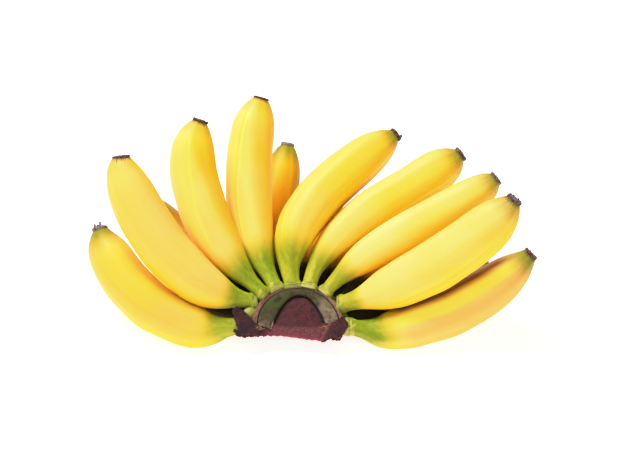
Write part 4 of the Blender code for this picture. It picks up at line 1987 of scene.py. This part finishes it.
@dataclass(frozen=True)
class Bract:
    """The dried bract in the crown's arch, the fuzzy strip before it and what is torn from it.

    Lengths are in millimetres on the bench.
    """

    face: CutFace
    arch: Arch
    dome_size: tuple[int, int] = (28, 61)  # rows and columns
    dome_foot: float = -2.4
    dome_border: Point = (8.0, 6.0)  # how far its border reaches in, from its sides and its top
    dome_lap: float = 0.3  # how far it goes under the cushion
    dome_over: Place = (0.4, 1.5, 0.4)  # at the border, more inside it, more at its foot
    strip_size: tuple[int, int] = (16, 150)
    strip_ends: Point = (-33.0, 29.0)
    strip_over: Place = (2.4, -1.0, -1.8)  # along it, less at its top, less at its foot
    strip_rolled: float = 0.25  # the share of its width that its top rolls down over
    strip_ragged: Point = (0.28, 0.3)
    strip_rough: float = 0.08
    strip_top: tuple[Point, ...] = (
        (-31.0, -2.2), (-22.0, -0.4), (-12.0, 0.8), (3.0, 0.6), (17.0, 1.4), (24.0, 2.6),
        (29.0, 0.6),
    )
    strip_foot: tuple[Point, ...] = (
        (-33.0, -6.2), (-28.0, -7.0), (-16.0, -6.1), (-8.0, -6.2), (0.0, -7.2), (6.0, -8.2),
        (14.5, -9.0), (17.5, -8.6), (20.0, -7.0), (25.5, -6.4), (29.0, -4.4),
    )
    flap_size: tuple[int, int] = (36, 25)
    flaps: tuple[Flap, ...] = (
        Flap(
            "bract_flap_left_skin", "bract_flap_left",
            (
                ((-31.4, -6.7), (-18.5, -6.4)), ((-31.6, -4.3), (-18.5, -4.0)),
                ((-32.3, -1.9), (-20.2, -1.4)), ((-33.3, 1.1), (-23.0, 1.4)),
                ((-33.9, 2.9), (-24.6, 3.2)), ((-34.8, 5.2), (-26.6, 5.4)),
                ((-35.0, 7.6), (-28.8, 7.6)), ((-33.6, 8.9), (-31.1, 8.9)),
            ),
            (6.2, 2.4), 1.2,
        ),
        Flap(
            "bract_flap_right_skin", "bract_flap_right",
            (
                ((15.2, -10.4), (16.6, -10.6)), ((13.6, -8.9), (20.2, -9.0)),
                ((14.4, -7.4), (25.6, -7.6)), ((15.2, -4.9), (28.0, -4.9)),
                ((15.8, -2.6), (29.0, -2.4)), ((16.6, -0.9), (29.9, -0.7)),
                ((18.6, 0.4), (29.0, 1.6)), ((22.4, 2.1), (27.6, 2.9)),
                ((25.6, 3.3), (26.4, 3.4)),
            ),
            (2.2, 5.4), 1.0, fade=0.8,
        ),
        Flap(
            "bract_flake", "bract_flap_left",
            (
                ((-33.6, -3.6), (-30.4, -4.2)), ((-34.2, -4.8), (-29.8, -5.6)),
                ((-32.8, -6.4), (-29.7, -7.0)), ((-31.2, -7.9), (-30.4, -8.2)),
            ),
            (5.4, 5.0), 0.3,
        ),
        Flap(
            "bract_scrap", "bract_flap_right",
            (
                ((20.6, -6.6), (26.6, -6.4)), ((20.2, -8.0), (26.4, -7.6)),
                ((20.8, -8.8), (25.4, -8.8)), ((22.0, -9.2), (24.6, -9.4)),
            ),
            (1.6, 2.6), 0.5, ash=0.8,
        ),
    )
    tufts: tuple[Tuft, ...] = (
        Tuft("torn_fibres_left", "bract_flap_left", (-21.8, -2.2, 4.2), (4.6, 2.0), 15),
        Tuft("torn_fibres_right", "bract_flap_right", (19.0, -2.0, 4.9), (3.8, 1.6), 12),
    )
    fibre_sides: int = 6
    fibre_girth: Point = (0.17, 0.08)
    fibre_length: Point = (2.6, 1.2)  # and how much it varies
    fibre_swing: Point = (1.1, 0.25)  # how unevenly they turn and tilt, in radians
    fibre_torn: float = 0.2
    crumple_size: float = 2.2

    def build(self) -> None:
        """Builds the dome, the strip, the flaps and the torn fibres."""
        self._dome()
        self._strip()
        for flap in self.flaps:
            self._flap(flap)
        for tuft in self.tufts:
            self._fibres(tuft)

    def _deliver(
        self, piece: Piece, finish: BractFinish, node: str, thickness: float, lump: float
    ) -> None:
        """Thickens a sheet, crumples it, tilts it onto the face and delivers it.

        Args:
            piece: The sheet, on the bench.
            finish: Its finish.
            node: The solid that it stands for.
            thickness: Its thickness.
            lump: How high its crumples are.
        """
        Bench.modify(piece, "SOLIDIFY", thickness=thickness * MM, offset=-1.0)
        texture = cloud(piece.name + "_crumple", self.crumple_size * MM)
        Bench.crumple(piece, texture, lump * MM)
        piece.matrix_world = self.face.frame @ piece.matrix_world
        Bench.settle(piece, 60)
        deliver(piece, finish.material(), Slot.BRACT, [node])

    def _dome(self) -> None:
        """Models the dome: sunk along the arch, swelling towards its foot."""
        steps, columns = self.dome_size
        rows, borders = [], []
        for number in range(steps):
            drop = number / (steps - 1)
            along = self.arch.top - (self.arch.top - self.dome_foot) * drop
            left, right = self._sides(along)
            row = []
            for column in range(columns):
                across = column / (columns - 1)
                place = left + (right - left) * across
                border = min(across, 1 - across) * (right - left) / self.dome_border[0]
                border = min(border, (self.arch.top - along) / self.dome_border[1], 1.0)
                borders.append(border)
                least, inside, foot = self.dome_over
                over = least + inside * (1 - (1 - border) ** 2) + foot * drop**3
                row.append(bench_point(place, along, over))
            rows.append(row)
        dome = Loft.through("bract_dome", rows).finish()
        Bench.mark(dome, "border", borders)
        finish = BractFinish("bract_dome", arch_shade=1.0, red=0.6)
        self._deliver(dome, finish, "dried_bract", 1.0, 0.5)

    def _sides(self, along: float) -> Point:
        """Finds where the arch's two sides are at a height along the face.

        Args:
            along: The height.

        Returns:
            The left side and the right one, a little outside the arch.
        """
        outline = [self.arch.point(float(share)) for share in np.linspace(0, 1, 201)]
        left = [p for p in outline[:101] if p[1] <= along] or [outline[0]]
        right = [p for p in outline[100:] if p[1] <= along] or [outline[-1]]
        return left[-1][0] - self.dome_lap, right[0][0] + self.dome_lap

    def _strip(self) -> None:
        """Models the fuzzy strip with its ragged lower edge."""
        steps, columns = self.strip_size
        start, end = self.strip_ends
        level, less_top, less_foot = self.strip_over
        torn, frayed = self.strip_ragged
        rows = []
        for number in range(steps):
            down = number / (steps - 1)
            row = []
            for column in range(columns):
                place = start + (end - start) * column / (columns - 1)
                high = np.interp(place, *zip(*self.strip_top))
                low = np.interp(place, *zip(*self.strip_foot))
                ragged = jitter(column * 1.7, torn) + jitter(column * 0.43, frayed)
                along = high + (low + ragged * down - high) * down
                rolled = max(self.strip_rolled - down, 0.0)
                over = level + less_top * rolled / self.strip_rolled + less_foot * down**4
                over += jitter(column + number, self.strip_rough)
                row.append(bench_point(place, along, over))
            rows.append(row)
        strip = Loft.through("bract_strip", rows).finish()
        self._deliver(strip, BractFinish("bract_strip", fuzz=0.7, red=0.4), "dried_bract", 1.0, 0.6)

    def _flap(self, flap: Flap) -> None:
        """Models a flap between its two edges; its lower side rises towards the tip.

        Args:
            flap: The flap.
        """
        steps, columns = self.flap_size
        table = np.array(flap.edges)
        rows = []
        for number, share in enumerate(np.linspace(0, len(table) - 1, steps)):
            low = min(int(share), len(table) - 2)
            ease = share - low
            ends = table[low] * (1 - ease) + table[low + 1] * ease
            rise = number / (steps - 1)
            row = []
            for column in range(columns):
                across = column / (columns - 1)
                place = ends[0] * (1 - across) + ends[1] * across
                flat = flap.over[0] * (1 - across) + flap.over[1] * across
                height = flat + (max(flap.over) - flat) * rise + flap.curl * sin(pi * across)
                row.append(bench_point(place[0], place[1], height))
            rows.append(row)
        finish = BractFinish(flap.name, dark=0.4, red=0.5, fade=flap.fade, ash=flap.ash)
        self._deliver(Loft.through(flap.name, rows).finish(), finish, flap.node, 0.8, 1.4)

    def _fibres(self, tuft: Tuft) -> None:
        """Models a tuft of torn straw fibres that lie on the bract.

        Args:
            tuft: The tuft.
        """
        fibres = []
        foot, tip = self.fibre_girth
        length, varied = self.fibre_length
        swing, tilt = self.fibre_swing
        for index in range(tuft.count):
            Bench.clear()
            across = tuft.middle[0] + jitter(index * 1.3, tuft.spread[0])
            along = tuft.middle[1] + jitter(index * 2.9, tuft.spread[1])
            turn = 0.5 * pi + jitter(index * 3.1, swing)
            bpy.ops.mesh.primitive_cone_add(
                vertices=self.fibre_sides, radius1=foot * MM, radius2=tip * MM,
                depth=(length + jitter(index, varied)) * MM,
                location=bench_point(across, along, tuft.middle[2]),
                rotation=(pi / 2 + jitter(index * 1.9, tilt), 0, turn),
            )
            fibres.append(Bench.roughen(bpy.context.object, 3, self.fibre_torn * MM, index))
        piece = Bench.join(tuft.name, fibres)
        piece.matrix_world = self.face.frame @ piece.matrix_world
        Bench.settle(piece, 60)
        deliver(piece, StrawFinish(tuft.name).material(), Slot.BRACT, [tuft.node])


# Stage, light and camera


@dataclass(frozen=True)
class Studio:
    """A plain pale floor, soft light and the camera that looks down on the hand."""

    face: CutFace
    elevation: float = radians(38)
    lens: float = 100.0
    distance: float = 0.97
    look_at: Place = (0.0095, 0.0331, 0.0423)  # from the crown's cut face
    floor_size: float = 6.0
    floor_tone: Colour = (0.9, 0.9, 0.9)
    glow: float = 1.05
    glow_colour: Colour = (1.0, 0.80, 0.80)
    shade: Colour = (0.06, 0.04, 0.02)
    shade_step: float = 0.064  # from the cut face to the middle of the shade
    shade_reach: Point = (0.070, 0.056)
    sky: float = 0.20
    lamps: tuple[tuple[str, Place, float, float], ...] = (  # name, place, size and watts
        ("key", (-0.42, 0.22, 1.0), 0.5, 13.5),
        ("fill", (0.3, -0.95, 0.85), 0.9, 4.5),
    )
    lit_place: Place = (0.0, 0.0, 0.03)
    white: Colour = (1.4, 1.20, 1.18)
    tone_curves: tuple[tuple[Point, ...], ...] = (  # red, green and blue: level and shown level
        ((0.15, 0.15), (0.3, 0.325), (0.5, 0.61), (0.65, 0.80), (0.8, 0.885), (1.05, 0.925),
         (1.3, 0.945)),
        ((0.2, 0.20), (0.4, 0.42), (0.6, 0.64), (0.8, 0.787), (1.0, 0.885), (1.12, 0.945)),
        ((0.2, 0.19), (0.4, 0.40), (0.6, 0.60), (0.8, 0.76), (1.0, 0.88), (1.12, 0.945)),
    )

    def build(self) -> None:
        """Sets the stage."""
        self._floor()
        self._lights()
        self._camera()
        self._tone()

    def _tone(self) -> None:
        """Sets a film-like tone curve: highlights roll off softly, red the soonest."""
        view = bpy.context.scene.view_settings
        view.view_transform = "Standard"
        view.use_curve_mapping = True
        mapping = view.curve_mapping
        mapping.white_level = self.white
        for curve, white, knots in zip(mapping.curves, self.white, self.tone_curves):
            for level, shown in knots:
                curve.points.new(level / white, shown)
        mapping.update()

    def _floor(self) -> None:
        """Lays the floor, which glows as a lit sweep does and fades into shade under the hand."""
        Bench.clear()
        bpy.ops.mesh.primitive_plane_add(size=self.floor_size)
        floor = bpy.context.object
        floor.name = "floor"
        board = Board("pale_floor", roughness=0.7, emission_strength=self.glow)
        middle = (-self.face.origin.x, -self.face.origin.y - self.shade_step, 0.0)
        wide, deep = self.shade_reach
        spot = board.place().moved(middle).stretched(1 / wide, 1 / deep, 1.0)
        lit = spot.distance((0.0, 0.0, 0.0)).reach(0.55, 1.15)
        board.feed("Emission Color", lit.blend(self.shade, self.glow_colour))
        board.feed("Base Color", lit.blend(self.shade, self.floor_tone))
        floor.data.materials.append(board.material)

    def _lights(self) -> None:
        """Hangs the soft lights under a pale sky."""
        world = bpy.data.worlds.new("studio")
        world.use_nodes = True
        background = world.node_tree.nodes["Background"]
        background.inputs["Color"].default_value = (1, 1, 1, 1)
        background.inputs["Strength"].default_value = self.sky
        bpy.context.scene.world = world
        for name, place, size, power in self.lamps:
            data = bpy.data.lights.new(name, "AREA")
            data.size = size
            data.energy = power
            lamp = bpy.data.objects.new(name, data)
            bpy.context.scene.collection.objects.link(lamp)
            lamp.location = place
            facing = Vector(self.lit_place) - Vector(place)
            lamp.rotation_euler = facing.to_track_quat("-Z", "Y").to_euler()

    def _camera(self) -> None:
        """Places the camera at its angle above the front of the hand."""
        data = bpy.data.cameras.new("camera")
        data.lens = self.lens
        data.clip_start = 0.01
        camera = bpy.data.objects.new("camera", data)
        bpy.context.scene.collection.objects.link(camera)
        back = Vector((0, -cos(self.elevation), sin(self.elevation)))
        camera.location = self.face.origin + Vector(self.look_at) + back * self.distance
        camera.rotation_euler = (pi / 2 - self.elevation, 0, 0)
        bpy.context.scene.camera = camera


# Building it all


def main() -> None:
    """Builds every piece, then the stage, and logs where the crown's cut face is."""
    logging.basicConfig(level=logging.INFO, format="%(name)s: %(message)s")
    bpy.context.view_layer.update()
    face = CutFace.of_crown()
    log.info("cut face at %s", tuple(round(value, 4) for value in face.origin))
    looks = UPPER_LOOKS + LOWER_LOOKS
    reader = SpineReader()
    spines = {look.node: reader.read(look.node) for look in looks}
    Fingers(looks, spines).build()
    crown = Crown(face, spines)
    crown.build()
    Bract(face, crown.inner).build()
    Studio(face).build()


if __name__ == "__main__":
    main()
